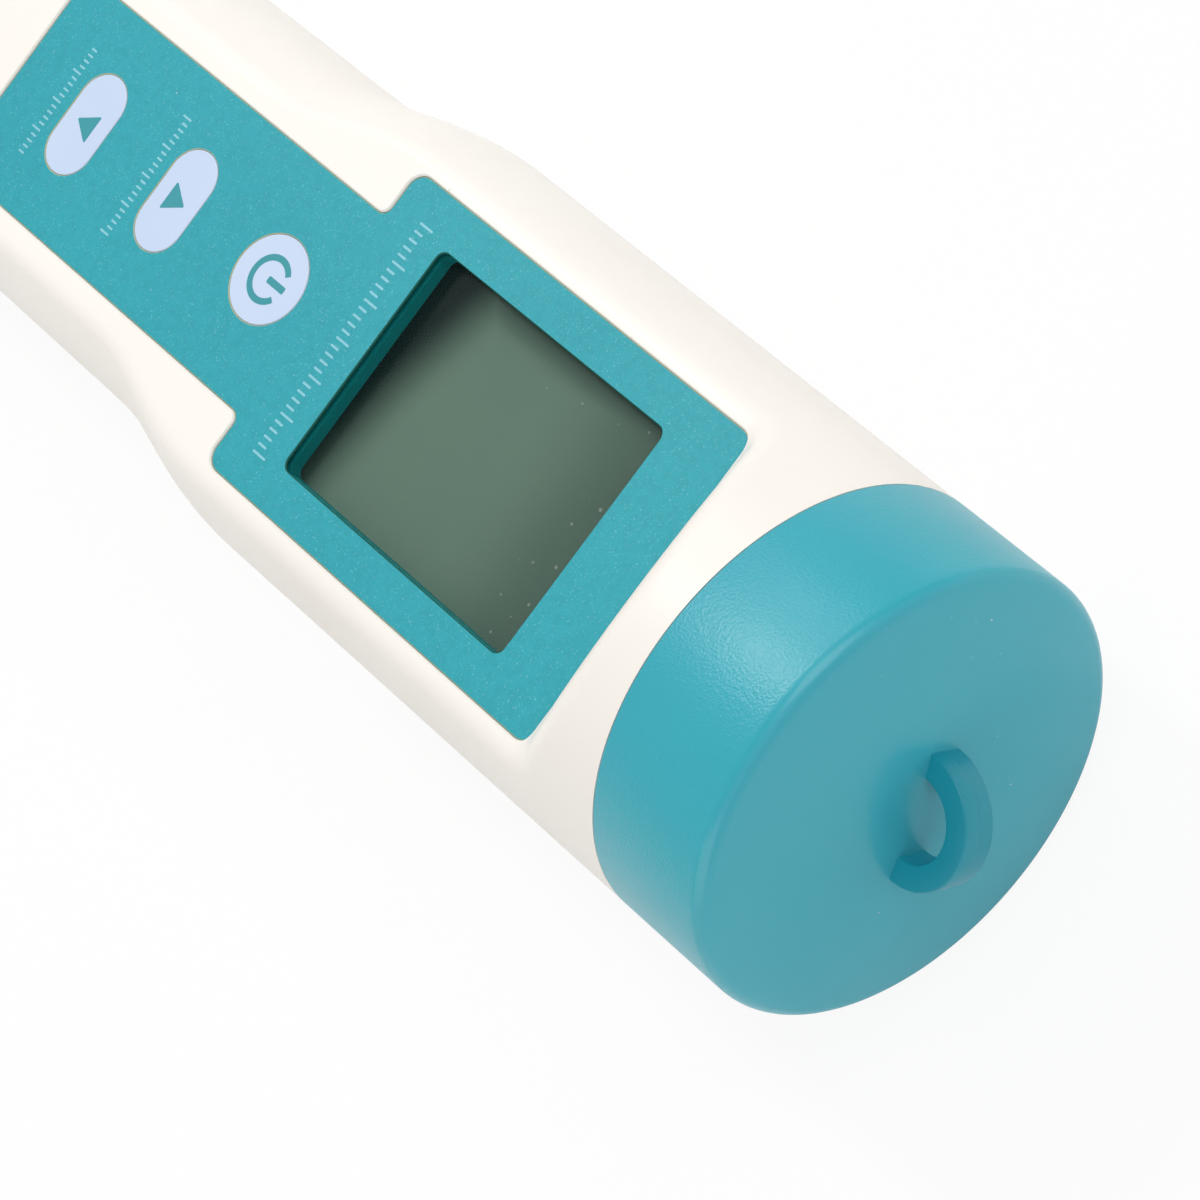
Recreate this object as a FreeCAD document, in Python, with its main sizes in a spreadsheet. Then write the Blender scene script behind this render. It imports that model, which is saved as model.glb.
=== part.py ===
import FreeCAD, Part
import math
import os
import Sketcher

V = FreeCAD.Vector

# Pen tester for water, lying on its back: +X towards the battery cap, +Z out of the display,
# Z = 0 on the table. The origin is under the middle of its box. Millimetres and degrees.

SIZES = {
    # whole pen
    "total_length": 188.0,
    "head_diameter": 38.0,
    # battery cap and its lanyard loop
    "loop_outer_radius": 5.45,
    "loop_inner_radius": 3.35,
    "loop_thickness": 2.85,
    "loop_turn": 30.0,
    "loop_edge_radius": 0.3,
    "dome_rise": 2.0,
    "skirt_length": 12.3,
    "face_fillet": 1.35,
    "cap_wall": 2.3,
    "cap_ceiling": 2.2,
    "cap_seam_gap": 0.12,
    # white housing
    "collar_length": 9.65,
    "shoulder_start": 39.6,
    "shoulder_length": 20.4,
    "grip_width": 32.6,
    "grip_crest": 33.2,
    "grip_sink": 0.3,
    "head_sink": 0.02,
    "grip_squareness": 2.6,
    "end_width": 31.0,
    "shell_wall": 2.0,
    "floor_thickness": 1.2,
    "end_wall": 3.0,
    "flat_edge_radius": 2.0,
    "ramp_angle": 57.0,
    "ramp_foot_radius": 0.8,
    "tongue_height": 1.2,
    "tongue_width": 0.8,
    "tongue_gap": 0.05,
    "tongue_inset": 4.0,
    "collar_room": 5.0,
    "room_gap": 0.5,
    "room_low_corner": 10.0,
    "room_high_corner": 4.0,
    # panel: plate and overlay
    "panel_height": 10.75,
    "panel_recess": 0.2,
    "panel_gap": 0.1,
    "head_panel_length": 41.1,
    "head_panel_width": 27.9,
    "panel_length": 82.0,
    "strip_width": 19.0,
    "panel_corner": 1.5,
    "notch_corner": 0.9,
    "film_thickness": 0.25,
    "well_depth": 2.0,
    "window_margin": 7.13,
    "window_length": 27.44,
    "window_width": 20.6,
    "window_corner": 0.8,
    "lens_thickness": 0.6,
    "lens_lap": 1.2,
    "lens_gap": 0.05,
    # keys
    "power_offset": 46.9,
    "key_end_margin": 9.6,
    "power_diameter": 7.5,
    "oval_length": 9.2,
    "oval_width": 5.1,
    "key_gap": 0.1,
    "key_flange": 0.8,
    "flange_thickness": 0.6,
    "flange_gap": 0.3,
    "key_edge_radius": 0.12,
    "key_travel": 0.3,
    "plunger_radius": 1.6,
    "plunger_gap": 0.4,
    # display and main board
    "lcd_margin": 1.5,
    "lcd_side_margin": 1.0,
    "lcd_thickness": 2.2,
    "lcd_ledge": 1.4,
    "backlight_thickness": 1.9,
    "lcd_frame_wall": 0.8,
    "board_drop": 3.1,
    "board_thickness": 1.6,
    "board_side_gap": 0.6,
    "board_grip_width": 18.0,
    "board_end_gap": 3.0,
    "board_step": 3.5,
    "switch_side": 6.0,
    "switch_height": 2.8,
    "switch_bore_depth": 0.8,
    "switch_gap": 0.05,
    "boss_radius": 1.6,
    "boss_gap": 0.2,
    "boss_inset": 2.0,
    "grip_boss_inset": 6.0,
    "grip_boss_spread": 6.2,
    "grip_boss_radius": 1.9,
    "pilot_gap": 0.05,
    "screw_radius": 0.8,
    "screw_length": 4.4,
    "screw_head_radius": 1.6,
    "screw_head_height": 1.1,
    # battery holder and cells
    "cell_radius": 5.8,
    "cell_height": 5.4,
    "cell_step": 0.4,
    "cell_gap": 0.25,
    "tube_wall": 1.0,
    "tube_floor": 0.8,
    "contact_thickness": 0.3,
    "bulkhead_thickness": 3.0,
    "bulkhead_gap": 0.05,
    "neck_length": 8.0,
    "neck_gap": 0.3,
    "neck_wall": 1.8,
    "neck_core_floor": 1.0,
    "groove_offset": 1.1,
    "groove_width": 1.9,
    "groove_depth": 1.1,
    "seal_gap": 0.1,
    "cap_contact_radius": 8.0,
    "cap_contact_thickness": 0.5,
    "cap_contact_gap": 0.1,
    "cap_contact_nose": 2.2,
    # probe end
    "electrode_cap_length": 48.0,
    "electrode_seam_gap": 0.2,
    "electrode_end_wall": 3.0,
    "barrel_radius": 12.0,
    "barrel_gap": 0.3,
    "probe_flange": 0.8,
    "probe_flange_length": 2.0,
    "probe_seat_gap": 0.05,
    "probe_groove_offset": 2.6,
    "probe_groove_width": 1.8,
    "probe_groove_depth": 0.9,
    "sensor_face_depth": 20.0,
    "guard_length": 17.5,
    "guard_wall": 1.2,
    "guard_ring": 2.5,
    "guard_shoulder": 2.0,
    "guard_window": 10.0,
    "sponge_thickness": 2.8,
    "sponge_gap": 0.3,
    "bulb_radius": 3.3,
    "stem_radius": 2.4,
    "stem_length": 10.5,
    "sensor_circle": 6.6,
    "orp_turn": 45.0,
    "orp_radius": 1.3,
    "orp_length": 9.0,
    "orp_band": 1.5,
    "orp_band_rise": 0.1,
    "pin_turn": -45.0,
    "second_pin_turn": -135.0,
    "pin_radius": 0.8,
    "pin_length": 7.5,
    "thermo_turn": 135.0,
    "thermo_radius": 1.5,
    "thermo_length": 10.0,
    "junction_turn": 90.0,
    "junction_radius": 1.5,
    "junction_height": 0.6,
    "connector_length": 5.6,
    "connector_width": 10.0,
    "connector_height": 4.6,
}

PLACES = {
    "axis_z": "Sizes.head_diameter / 2",
    "tip_x": "Sizes.total_length / 2",
    "end_x": "-tip_x",
    "dome_x": "tip_x - Sizes.loop_outer_radius",
    "face_x": "dome_x - Sizes.dome_rise",
    "seam_x": "face_x - Sizes.skirt_length",
    "ceiling_x": "face_x - Sizes.cap_ceiling",
    "cap_bore": "axis_z - Sizes.cap_wall",
    "panel_x": "seam_x - Sizes.collar_length",
    "step_x": "panel_x - Sizes.head_panel_length",
    "strip_x": "panel_x - Sizes.panel_length",
    "panel_z": "axis_z + Sizes.panel_height",
    "flat_z": "panel_z + Sizes.panel_recess",
    "plate_z": "panel_z - Sizes.film_thickness",
    "well_z": "panel_z - Sizes.well_depth",
    "floor_z": "well_z - Sizes.floor_thickness",
    "board_z": "floor_z - Sizes.board_drop",
    "board_low_z": "board_z - Sizes.board_thickness",
    "window_near_x": "panel_x - Sizes.window_margin",
    "window_far_x": "window_near_x - Sizes.window_length",
    "lens_z": "plate_z - Sizes.lens_thickness",
    "lcd_near_x": "window_near_x + Sizes.lcd_margin",
    "lcd_far_x": "window_far_x - Sizes.lcd_margin",
    "lcd_half": "Sizes.window_width / 2 + Sizes.lcd_side_margin",
    "lcd_low_z": "well_z - Sizes.lcd_thickness",
    "frame_near_x": "lcd_near_x + Sizes.lcd_frame_wall + Sizes.panel_gap",
    "frame_far_x": "lcd_far_x - Sizes.lcd_frame_wall - Sizes.panel_gap",
    "frame_half": "lcd_half + Sizes.lcd_frame_wall + Sizes.panel_gap",
    "power_x": "panel_x - Sizes.power_offset",
    "key_pitch": "(power_x - strip_x - Sizes.key_end_margin) / 2",
    "up_x": "power_x - key_pitch",
    "down_x": "up_x - key_pitch",
    "flange_z": "plate_z - Sizes.key_gap",
    "key_low_z": "flange_z - Sizes.flange_thickness",
    "switch_z": "board_z + Sizes.switch_height",
    "plunger_z": "switch_z - Sizes.switch_bore_depth + Sizes.key_travel + Sizes.switch_gap",
    "board_step_x": "step_x - Sizes.board_step",
    "board_near_x": "frame_near_x",
    "board_half": "sqrt((axis_z - Sizes.shell_wall) ^ 2 - (board_z - axis_z) ^ 2) - Sizes.board_side_gap",
    "room_step_x": "board_step_x - Sizes.room_gap",
    "head_boss_x": "frame_far_x - Sizes.boss_gap - Sizes.boss_radius",
    "head_boss_y": "frame_half - Sizes.boss_inset",
    "shoulder_x": "panel_x - Sizes.shoulder_start",
    "grip_x": "shoulder_x - Sizes.shoulder_length",
    "tube_radius": "Sizes.cell_radius + Sizes.cell_gap + Sizes.tube_wall",
    "tube_bore": "Sizes.cell_radius + Sizes.cell_gap",
    "tube_x": "board_near_x + Sizes.contact_thickness",
    "cells_x": "tube_x + Sizes.tube_floor + Sizes.contact_thickness",
    "cells_end_x": "cells_x + 4 * Sizes.cell_height",
    "bulkhead_x": "seam_x - Sizes.bulkhead_thickness",
    "bulkhead_radius": "axis_z - Sizes.shell_wall - Sizes.bulkhead_gap",
    "neck_x": "seam_x + Sizes.neck_length",
    "neck_radius": "cap_bore - Sizes.neck_gap",
    "groove_x": "seam_x + Sizes.groove_offset",
    "probe_z": "flat_z / 2",
    "probe_x": "end_x + Sizes.electrode_cap_length",
    "end_wall_x": "probe_x + Sizes.end_wall",
    "flange_x": "end_wall_x + Sizes.probe_flange_length",
    "board_far_x": "flange_x + Sizes.board_end_gap",
    "grip_boss_x": "board_far_x + Sizes.grip_boss_inset",
    "probe_groove_x": "probe_x - Sizes.probe_groove_offset",
    "sensor_x": "probe_x - Sizes.sensor_face_depth",
    "guard_x": "sensor_x - Sizes.guard_length",
    "sponge_seat_x": "end_x + Sizes.electrode_end_wall",
    "stem_x": "sensor_x - Sizes.stem_length",
    "electrode_bore": "Sizes.barrel_radius + Sizes.barrel_gap",
}

SECTION_POINTS = 24
SEAM_TURN = 1 / 6
SHOULDER_STEPS = 8
OVERSHOOT = 30.0

doc = FreeCAD.newDocument("water_tester")
pieces = []


def fill_sheet(name, rows, lead):
    """Spreadsheet with a name and a value or formula on each row."""
    sheet = doc.addObject("Spreadsheet::Sheet", name)
    for row, (alias, value) in enumerate(rows.items(), start=1):
        sheet.set(f"A{row}", alias)
        sheet.set(f"B{row}", f"{lead}{value}")
        sheet.setAlias(f"B{row}", alias)
    doc.recompute()
    return sheet


sizes = fill_sheet("Sizes", SIZES, "")
places = fill_sheet("Places", PLACES, "=")


def mm(name):
    """Value of one named size or place."""
    return float(getattr(places if name in PLACES else sizes, name))


def number(text):
    """Value of an expression on the two sheets."""
    return float(sizes.evalExpression(text))


def keep(piece, label):
    """Name a finished sub-part and put it on the list that is written out."""
    piece.Label = label
    pieces.append(piece)
    return piece


# Blocks, rods and booleans


def box(name, x, y, z):
    """Block between two expressions on each axis."""
    block = doc.addObject("Part::Box", name)
    for axis, side, (low, high) in zip("xyz", ("Length", "Width", "Height"), (x, y, z)):
        block.setExpression(side, f"({high}) - ({low})")
        block.setExpression(f"Placement.Base.{axis}", low)
    return block


def rod(name, start, end, radius, y="0", z="Places.axis_z"):
    """Cylinder along X from start to end."""
    cylinder = doc.addObject("Part::Cylinder", name)
    cylinder.Placement = FreeCAD.Placement(V(), FreeCAD.Rotation(V(0, 1, 0), 90))
    cylinder.setExpression("Radius", radius)
    cylinder.setExpression("Height", f"({end}) - ({start})")
    for axis, value in zip("xyz", (start, y, z)):
        cylinder.setExpression(f"Placement.Base.{axis}", value)
    return cylinder


def post(name, low, high, radius, x, y="0"):
    """Upright cylinder from low to high."""
    cylinder = doc.addObject("Part::Cylinder", name)
    cylinder.setExpression("Radius", radius)
    cylinder.setExpression("Height", f"({high}) - ({low})")
    for axis, value in zip("xyz", (x, y, low)):
        cylinder.setExpression(f"Placement.Base.{axis}", value)
    return cylinder


def join(name, parts):
    """One solid from several that touch or overlap."""
    fusion = doc.addObject("Part::MultiFuse", name)
    fusion.Shapes = parts
    fusion.Refine = True
    return fusion


def cut(name, base, tools):
    """Base with every tool taken away."""
    result = doc.addObject("Part::Cut", name)
    result.Base = base
    result.Tool = tools[0] if len(tools) == 1 else join(f"{name}_tools", tools)
    return result


def common(name, first, second):
    """What two solids share."""
    result = doc.addObject("Part::Common", name)
    result.Base = first
    result.Tool = second
    return result


def group(name, parts):
    """Several separate solids in one node."""
    compound = doc.addObject("Part::Compound", name)
    compound.Links = parts
    return compound


# Sketched bodies


def new_body(name):
    """Empty body of its own."""
    return doc.addObject("PartDesign::Body", name)


def new_sketch(body, name, role, offset="0"):
    """Sketch on one origin plane of its body, moved along the plane's normal."""
    sketch = body.newObject("Sketcher::SketchObject", name)
    planes = [feature for feature in body.Origin.OriginFeatures if feature.Role == role]
    sketch.AttachmentSupport = (planes[0], [""])
    sketch.MapMode = "FlatFace"
    sketch.setExpression("AttachmentOffset.Base.z", offset)
    return sketch


def pin(sketch, element, point, along, text):
    """Hold one coordinate of a sketch point at an expression."""
    if abs(number(text)) < 1e-9:
        axis = -2 if along == "DistanceX" else -1
        sketch.addConstraint(Sketcher.Constraint("PointOnObject", element, point, axis))
        return
    index = sketch.addConstraint(Sketcher.Constraint(along, -1, 1, element, point, number(text)))
    sketch.setExpression(f"Constraints[{index}]", text)


def outline(sketch, corners, arcs=None):
    """Closed outline through corners of two expressions each.

    arcs maps the number of a stretch to (centre u, centre v, coordinate held, turn), where turn
    is 1 for anticlockwise and -1 for clockwise.
    """
    arcs = arcs or {}
    first = sketch.GeometryCount
    spots = [V(number(u), number(v), 0) for u, v in corners]
    ends = []
    for index, spot in enumerate(spots):
        goal = spots[(index + 1) % len(spots)]
        if index not in arcs:
            sketch.addGeometry(Part.LineSegment(spot, goal), False)
            ends.append((1, 2))
            continue
        centre_u, centre_v, held, turn = arcs[index]
        centre = V(number(centre_u), number(centre_v), 0)
        begin, finish = (spot, goal) if turn > 0 else (goal, spot)
        circle = Part.Circle(centre, V(0, 0, 1), (spot - centre).Length)
        sketch.addGeometry(Part.ArcOfCircle(circle, circle.parameter(begin), circle.parameter(finish)), False)
        ends.append((1, 2) if turn > 0 else (2, 1))
        along = "DistanceX" if held == "u" else "DistanceY"
        pin(sketch, first + index, 3, along, centre_u if held == "u" else centre_v)
    for index, (u, v) in enumerate(corners):
        before = (index - 1) % len(corners)
        element, point = first + index, ends[index][0]
        sketch.addConstraint(Sketcher.Constraint("Coincident", first + before, ends[before][1], element, point))
        pin(sketch, element, point, "DistanceX", u)
        pin(sketch, element, point, "DistanceY", v)


def rectangle(sketch, low_u, high_u, low_v, high_v):
    """Rectangle between four expressions."""
    outline(sketch, [(low_u, low_v), (high_u, low_v), (high_u, high_v), (low_u, high_v)])


def circle(sketch, u, v, radius):
    """Circle whose centre and radius are expressions."""
    index = sketch.addGeometry(Part.Circle(V(number(u), number(v), 0), V(0, 0, 1), number(radius)), False)
    pin(sketch, index, 3, "DistanceX", u)
    pin(sketch, index, 3, "DistanceY", v)
    held = sketch.addConstraint(Sketcher.Constraint("Radius", index, number(radius)))
    sketch.setExpression(f"Constraints[{held}]", radius)


def slot(sketch, u, length, width):
    """Slot across the pen at u, with round ends."""
    side = f"({width}) / 2"
    reach = f"(({length}) - ({width})) / 2"
    corners = [(f"{u} + {side}", f"-({reach})"), (f"{u} + {side}", reach)]
    corners += [(f"{u} - {side}", reach), (f"{u} - {side}", f"-({reach})")]
    outline(sketch, corners, {1: (u, reach, "v", 1), 3: (u, f"-({reach})", "v", 1)})


def pad(body, sketch, length, symmetric=False):
    """Pad a sketch up its normal, or equally both ways."""
    feature = body.newObject("PartDesign::Pad", f"{sketch.Name}_pad")
    feature.Profile = sketch
    feature.SideType = "Symmetric" if symmetric else "One side"
    feature.setExpression("Length", length)
    doc.recompute()
    return feature


def pocket(body, sketch, length, symmetric=False):
    """Cut a sketch down its normal, or equally both ways, and check that it removes something."""
    before = body.Shape.Volume
    feature = body.newObject("PartDesign::Pocket", f"{sketch.Name}_cut")
    feature.Profile = sketch
    feature.SideType = "Symmetric" if symmetric else "One side"
    feature.setExpression("Length", length)
    doc.recompute()
    if body.Shape.Volume > before - 1e-3:
        raise RuntimeError(f"{feature.Name} cuts nothing")
    return feature


def round_edges(body, choose, radius):
    """Fillet the edges of a body that the test picks."""
    tip = body.Tip
    names = [f"Edge{i}" for i, edge in enumerate(tip.Shape.Edges, start=1) if choose(edge)]
    feature = body.newObject("PartDesign::Fillet", f"{tip.Name}_round")
    feature.Base = (tip, names)
    feature.setExpression("Radius", radius)
    doc.recompute()
    return feature


def upright_at(spots):
    """Test for the upright edges that stand at the given pairs of expressions."""
    wanted = [(number(x), number(y)) for x, y in spots]

    def choose(edge):
        bounds = edge.BoundBox
        upright = bounds.XLength < 1e-3 and bounds.YLength < 1e-3
        return upright and any(math.hypot(bounds.XMin - x, bounds.YMin - y) < 1e-3 for x, y in wanted)

    return choose


def turned(name, corners, height, arcs=None):
    """Body turned about a line along X at the given height; corners are (x, radius)."""
    body = new_body(name)
    sketch = new_sketch(body, f"{name}_profile", "XZ_Plane")
    outline(sketch, corners, arcs)
    spin = body.newObject("PartDesign::Revolution", f"{name}_turn")
    spin.Profile = sketch
    spin.ReferenceAxis = (sketch, ["H_Axis"])
    spin.Angle = 360
    body.setExpression("Placement.Base.z", height)
    doc.recompute()
    return body


# The white housing


def smooth_step(share):
    """Ease from 0 to 1 with no corner at either end."""
    share = max(0.0, min(1.0, share))
    return share ** 3 * (10 - 15 * share + 6 * share ** 2)


def section(x):
    """Cross-section of the housing at x: round in the head, a squarer oval in the grip."""
    grip_x = mm("grip_x")
    blend = smooth_step((mm("shoulder_x") - x) / mm("shoulder_length"))
    taper = max(0.0, (grip_x - x) / (grip_x - mm("end_x")))
    radius = mm("head_diameter") / 2
    grip = mm("grip_width") / 2
    half_width = radius + (grip - radius) * blend - (grip - mm("end_width") / 2) * taper
    top = 2 * radius + (mm("grip_crest") - 2 * radius) * blend
    bottom = -mm("head_sink") - (mm("grip_sink") - mm("head_sink")) * blend
    power = 2 / (2 + (mm("grip_squareness") - 2) * blend)
    centre, half_height = (top + bottom) / 2, (top - bottom) / 2
    spots = []
    for step in range(SECTION_POINTS):
        angle = 2 * math.pi * (step / SECTION_POINTS - SEAM_TURN)
        across, up = math.cos(angle), math.sin(angle)
        y = half_width * math.copysign(abs(across) ** power, across)
        z = centre + half_height * math.copysign(abs(up) ** power, up)
        spots.append(V(x, y, z))
    curve = Part.BSplineCurve()
    curve.interpolate(spots, PeriodicFlag=True)
    return Part.Wire([curve.toShape()])


def housing_form():
    """Whole housing from the seam to the far end: head, shoulder and grip."""
    step = mm("shoulder_length") / SHOULDER_STEPS
    stations = [mm("shoulder_x") - step * index for index in range(-1, SHOULDER_STEPS + 2)]
    shoulder = Part.makeLoft([section(x) for x in stations], True, False)
    head = Part.makeLoft([section(mm("seam_x")), section(stations[0])], True, True)
    grip = Part.makeLoft([section(stations[-1]), section(mm("end_x"))], True, True)
    return head.fuse([shoulder, grip])


def flat_cutter():
    """Everything above the flat on top, which rises to the crest by a ramp at the collar."""
    flat_z, foot_x = mm("flat_z"), mm("panel_x") + mm("panel_gap")
    high_z = mm("head_diameter") + OVERSHOOT
    ramp_x = foot_x + (high_z - flat_z) / math.tan(math.radians(mm("ramp_angle")))
    far_x, half = mm("end_x") - OVERSHOOT, mm("head_diameter")
    corners = [V(far_x, -half, flat_z), V(foot_x, -half, flat_z), V(ramp_x, -half, high_z), V(far_x, -half, high_z)]
    block = Part.Face(Part.makePolygon(corners + corners[:1])).extrude(V(0, 2 * half, 0))
    foot = [edge for edge in block.Edges if abs(edge.CenterOfMass.distanceToPoint(V(foot_x, 0, flat_z))) < 1e-3]
    return block.makeFillet(mm("ramp_foot_radius"), foot)


def outer_form():
    """Outside of the housing and of the electrode cap, flat on top and underneath."""
    form = housing_form().cut(flat_cutter())
    low_x, high_x, half = mm("end_x") - OVERSHOOT, mm("seam_x") + OVERSHOOT, mm("head_diameter")
    table = Part.makeBox(high_x - low_x, 2 * half, OVERSHOOT, V(low_x, -half, -OVERSHOOT))
    return form.cut(table)


def soften(form, far_end):
    """Round the edges of the flat on top, and those of the far end if asked."""
    soft = []
    for edge in form.Edges:
        bounds = edge.BoundBox
        on_top = bounds.ZMin > mm("flat_z") - 0.02 and bounds.XMax < mm("seam_x") - 0.1
        at_end = far_end and bounds.XMax < mm("end_x") + 0.01
        if at_end or (on_top and bounds.XLength > 0.05):
            soft.append(edge)
    return form.makeFillet(mm("flat_edge_radius"), soft)


def fixed_shape(name, shape):
    """Free-form solid as an object of the document."""
    feature = doc.addObject("Part::Feature", name)
    feature.Shape = shape
    return feature


def housing_room():
    """Hollow of the housing: round in the head, squarer in the grip, under the panel's floor."""
    wall, under_x = "Sizes.shell_wall", "Places.panel_x + Sizes.collar_room"
    side = "Sizes.head_diameter"
    head = rod("room_head", "Places.room_step_x", "Places.seam_x + 1", f"Places.axis_z - {wall}")
    roof = box("room_roof", ("Places.room_step_x - 1", under_x), (f"-{side}", side), ("Places.floor_z", f"{side} * 2"))
    flange = rod(
        "room_flange",
        "Places.end_wall_x",
        "Places.flange_x + 0.5",
        "Sizes.barrel_radius + Sizes.probe_flange + 0.2",
        z="Places.probe_z",
    )
    grip = new_body("room_grip")
    sketch = new_sketch(grip, "room_grip_outline", "YZ_Plane", "Places.end_wall_x")
    half = f"(Sizes.end_width / 2 - {wall})"
    rectangle(sketch, f"-{half}", half, wall, "Places.floor_z")
    pad(grip, sketch, "Places.room_step_x + 0.5 - Places.end_wall_x")
    for height, radius in ((wall, "Sizes.room_low_corner"), ("Places.floor_z", "Sizes.room_high_corner")):
        level = number(height)
        round_edges(grip, along_at(level), radius)
    return join("housing_hollow", [cut("room_head_low", head, [roof]), grip, flange])


def along_at(level):
    """Test for the edges that run along X at one height."""

    def choose(edge):
        bounds = edge.BoundBox
        return bounds.XLength > 1 and abs(bounds.ZMin - level) + abs(bounds.ZMax - level) < 1e-3

    return choose


def panel_slab(name, margin, low, high):
    """Slab with the panel's outline, grown by a margin, between two heights."""
    body = new_body(name)
    sketch = new_sketch(body, f"{name}_outline", "XY_Plane", low)
    near, step, far = f"Places.panel_x + {margin}", f"Places.step_x - {margin}", f"Places.strip_x - {margin}"
    wide, narrow = f"Sizes.head_panel_width / 2 + {margin}", f"Sizes.strip_width / 2 + {margin}"
    right = [(near, wide), (step, wide), (step, narrow), (far, narrow)]
    left = [(x, f"-({y})") for x, y in reversed(right)]
    outline(sketch, right + left)
    pad(body, sketch, f"({high}) - ({low})")
    outer = [corner for corner in right + left if corner[1].strip("-()") != narrow or corner[0] != step]
    inner = [corner for corner in right + left if corner not in outer]
    round_edges(body, upright_at(outer), f"Sizes.panel_corner + {margin}")
    round_edges(body, upright_at(inner), f"Sizes.notch_corner - {margin}")
    return body


def window_cut(body, grow, top, depth, corner):
    """Rectangular opening of the display, grown all round, cut down from the given height."""
    sketch = new_sketch(body, f"{body.Name}_window_{len(body.Group)}", "XY_Plane", top)
    near, far = f"Places.window_near_x + {grow}", f"Places.window_far_x - ({grow})"
    half = f"Sizes.window_width / 2 + {grow}"
    rectangle(sketch, far, near, f"-({half})", half)
    pocket(body, sketch, depth)
    corners = [(x, y) for x in (near, far) for y in (half, f"-({half})")]
    round_edges(body, upright_at(corners), corner)


def key_outlines(sketch, grow):
    """Outlines of the three keys, grown all round."""
    circle(sketch, "Places.power_x", "0", f"Sizes.power_diameter / 2 + {grow}")
    for place in ("Places.up_x", "Places.down_x"):
        slot(sketch, place, f"Sizes.oval_length + 2 * ({grow})", f"Sizes.oval_width + 2 * ({grow})")


def key_cut(body, grow, top, depth):
    """Openings of the three keys, cut down from the given height."""
    sketch = new_sketch(body, f"{body.Name}_keys", "XY_Plane", top)
    key_outlines(sketch, grow)
    pocket(body, sketch, depth)


def make_shells(form):
    """Front and rear halves of the housing, which meet on the head's axis plane."""
    half = "Sizes.head_diameter"
    span = ("Places.probe_x", "Places.seam_x + 1")
    upper = common("shell_upper", form, box("upper_half", span, (f"-{half}", half), ("Places.axis_z", f"{half} * 2")))
    lower = common("shell_lower", form, box("lower_half", span, (f"-{half}", half), ("-1", "Places.axis_z")))
    hollow = housing_room()
    barrel = rod(
        "barrel_hole",
        "Places.probe_x - 1",
        "Places.end_wall_x + 1",
        "Sizes.barrel_radius + Sizes.probe_seat_gap",
        z="Places.probe_z",
    )
    recess = panel_slab("panel_recess", "Sizes.panel_gap", "Places.well_z", "Places.flat_z + 1")
    display = box(
        "display_opening",
        ("Places.lcd_far_x - Sizes.panel_gap", "Places.lcd_near_x + Sizes.panel_gap"),
        ("-Places.lcd_half - Sizes.panel_gap", "Places.lcd_half + Sizes.panel_gap"),
        ("Places.floor_z - 1", "Places.well_z + 1"),
    )
    openings = [hollow, barrel, recess, display]
    for name, place in (("power", "Places.power_x"), ("up", "Places.up_x"), ("down", "Places.down_x")):
        radius = "Sizes.plunger_radius + Sizes.plunger_gap"
        openings.append(post(f"{name}_stem_hole", "Places.floor_z - 1", "Places.well_z + 1", radius, place))
    front = upper
    for count, opening in enumerate(openings):
        front = cut(f"front_cut_{count}", front, [opening])
    bosses, pilots = [], []
    for name, x, y, radius in boss_spots():
        bosses.append(post(f"{name}_boss", "Places.board_z", "Places.floor_z + 0.2", radius, x, y))
        pilot = "Sizes.screw_radius + Sizes.pilot_gap"
        pilots.append(post(f"{name}_pilot", "Places.board_z - 1", "Places.floor_z", pilot, x, y))
    bossed = join("front_bossed", [front] + bosses)
    keep(cut("front_shell", bossed, pilots + seam_tongues("groove", "Sizes.tongue_gap")), "front_shell")
    rear = cut("rear_cut_hollow", lower, [hollow])
    drilled = cut("rear_cut_barrel", rear, [barrel])
    keep(join("rear_shell", [drilled] + seam_tongues("tongue", "0")), "rear_shell")


def boss_spots():
    """Name, place and radius of each screw boss under the front shell."""
    spots = []
    for side, sign in (("right", ""), ("left", "-")):
        spots.append((f"head_{side}", "Places.head_boss_x", f"{sign}Places.head_boss_y", "Sizes.boss_radius"))
        spots.append((f"grip_{side}", "Places.grip_boss_x", f"{sign}Sizes.grip_boss_spread", "Sizes.grip_boss_radius"))
    return spots


def seam_tongues(kind, grow):
    """Straight tongues in the middle of both side walls, along grip and head, grown by a gap."""
    inset, wide = "Sizes.tongue_inset", "Sizes.tongue_width / 2"
    runs = (
        ("grip", "Places.flange_x", "Places.grip_x", "(Sizes.end_width - Sizes.shell_wall) / 2"),
        ("head", "Places.shoulder_x", "Places.bulkhead_x", "(Places.axis_z - Sizes.shell_wall / 2)"),
    )
    tongues = []
    for run, start, end, y in runs:
        for side, sign in (("left", ""), ("right", "-")):
            along = (f"{start} + {inset} - {grow}", f"{end} - {inset} + {grow}")
            across = (f"{sign}{y} - {wide} - {grow}", f"{sign}{y} + {wide} + {grow}")
            height = ("Places.axis_z - Sizes.tongue_width", f"Places.axis_z + Sizes.tongue_height + {grow}")
            tongues.append(box(f"{run}_{side}_{kind}", along, across, height))
    return tongues


# Panel, window and keys


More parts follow.
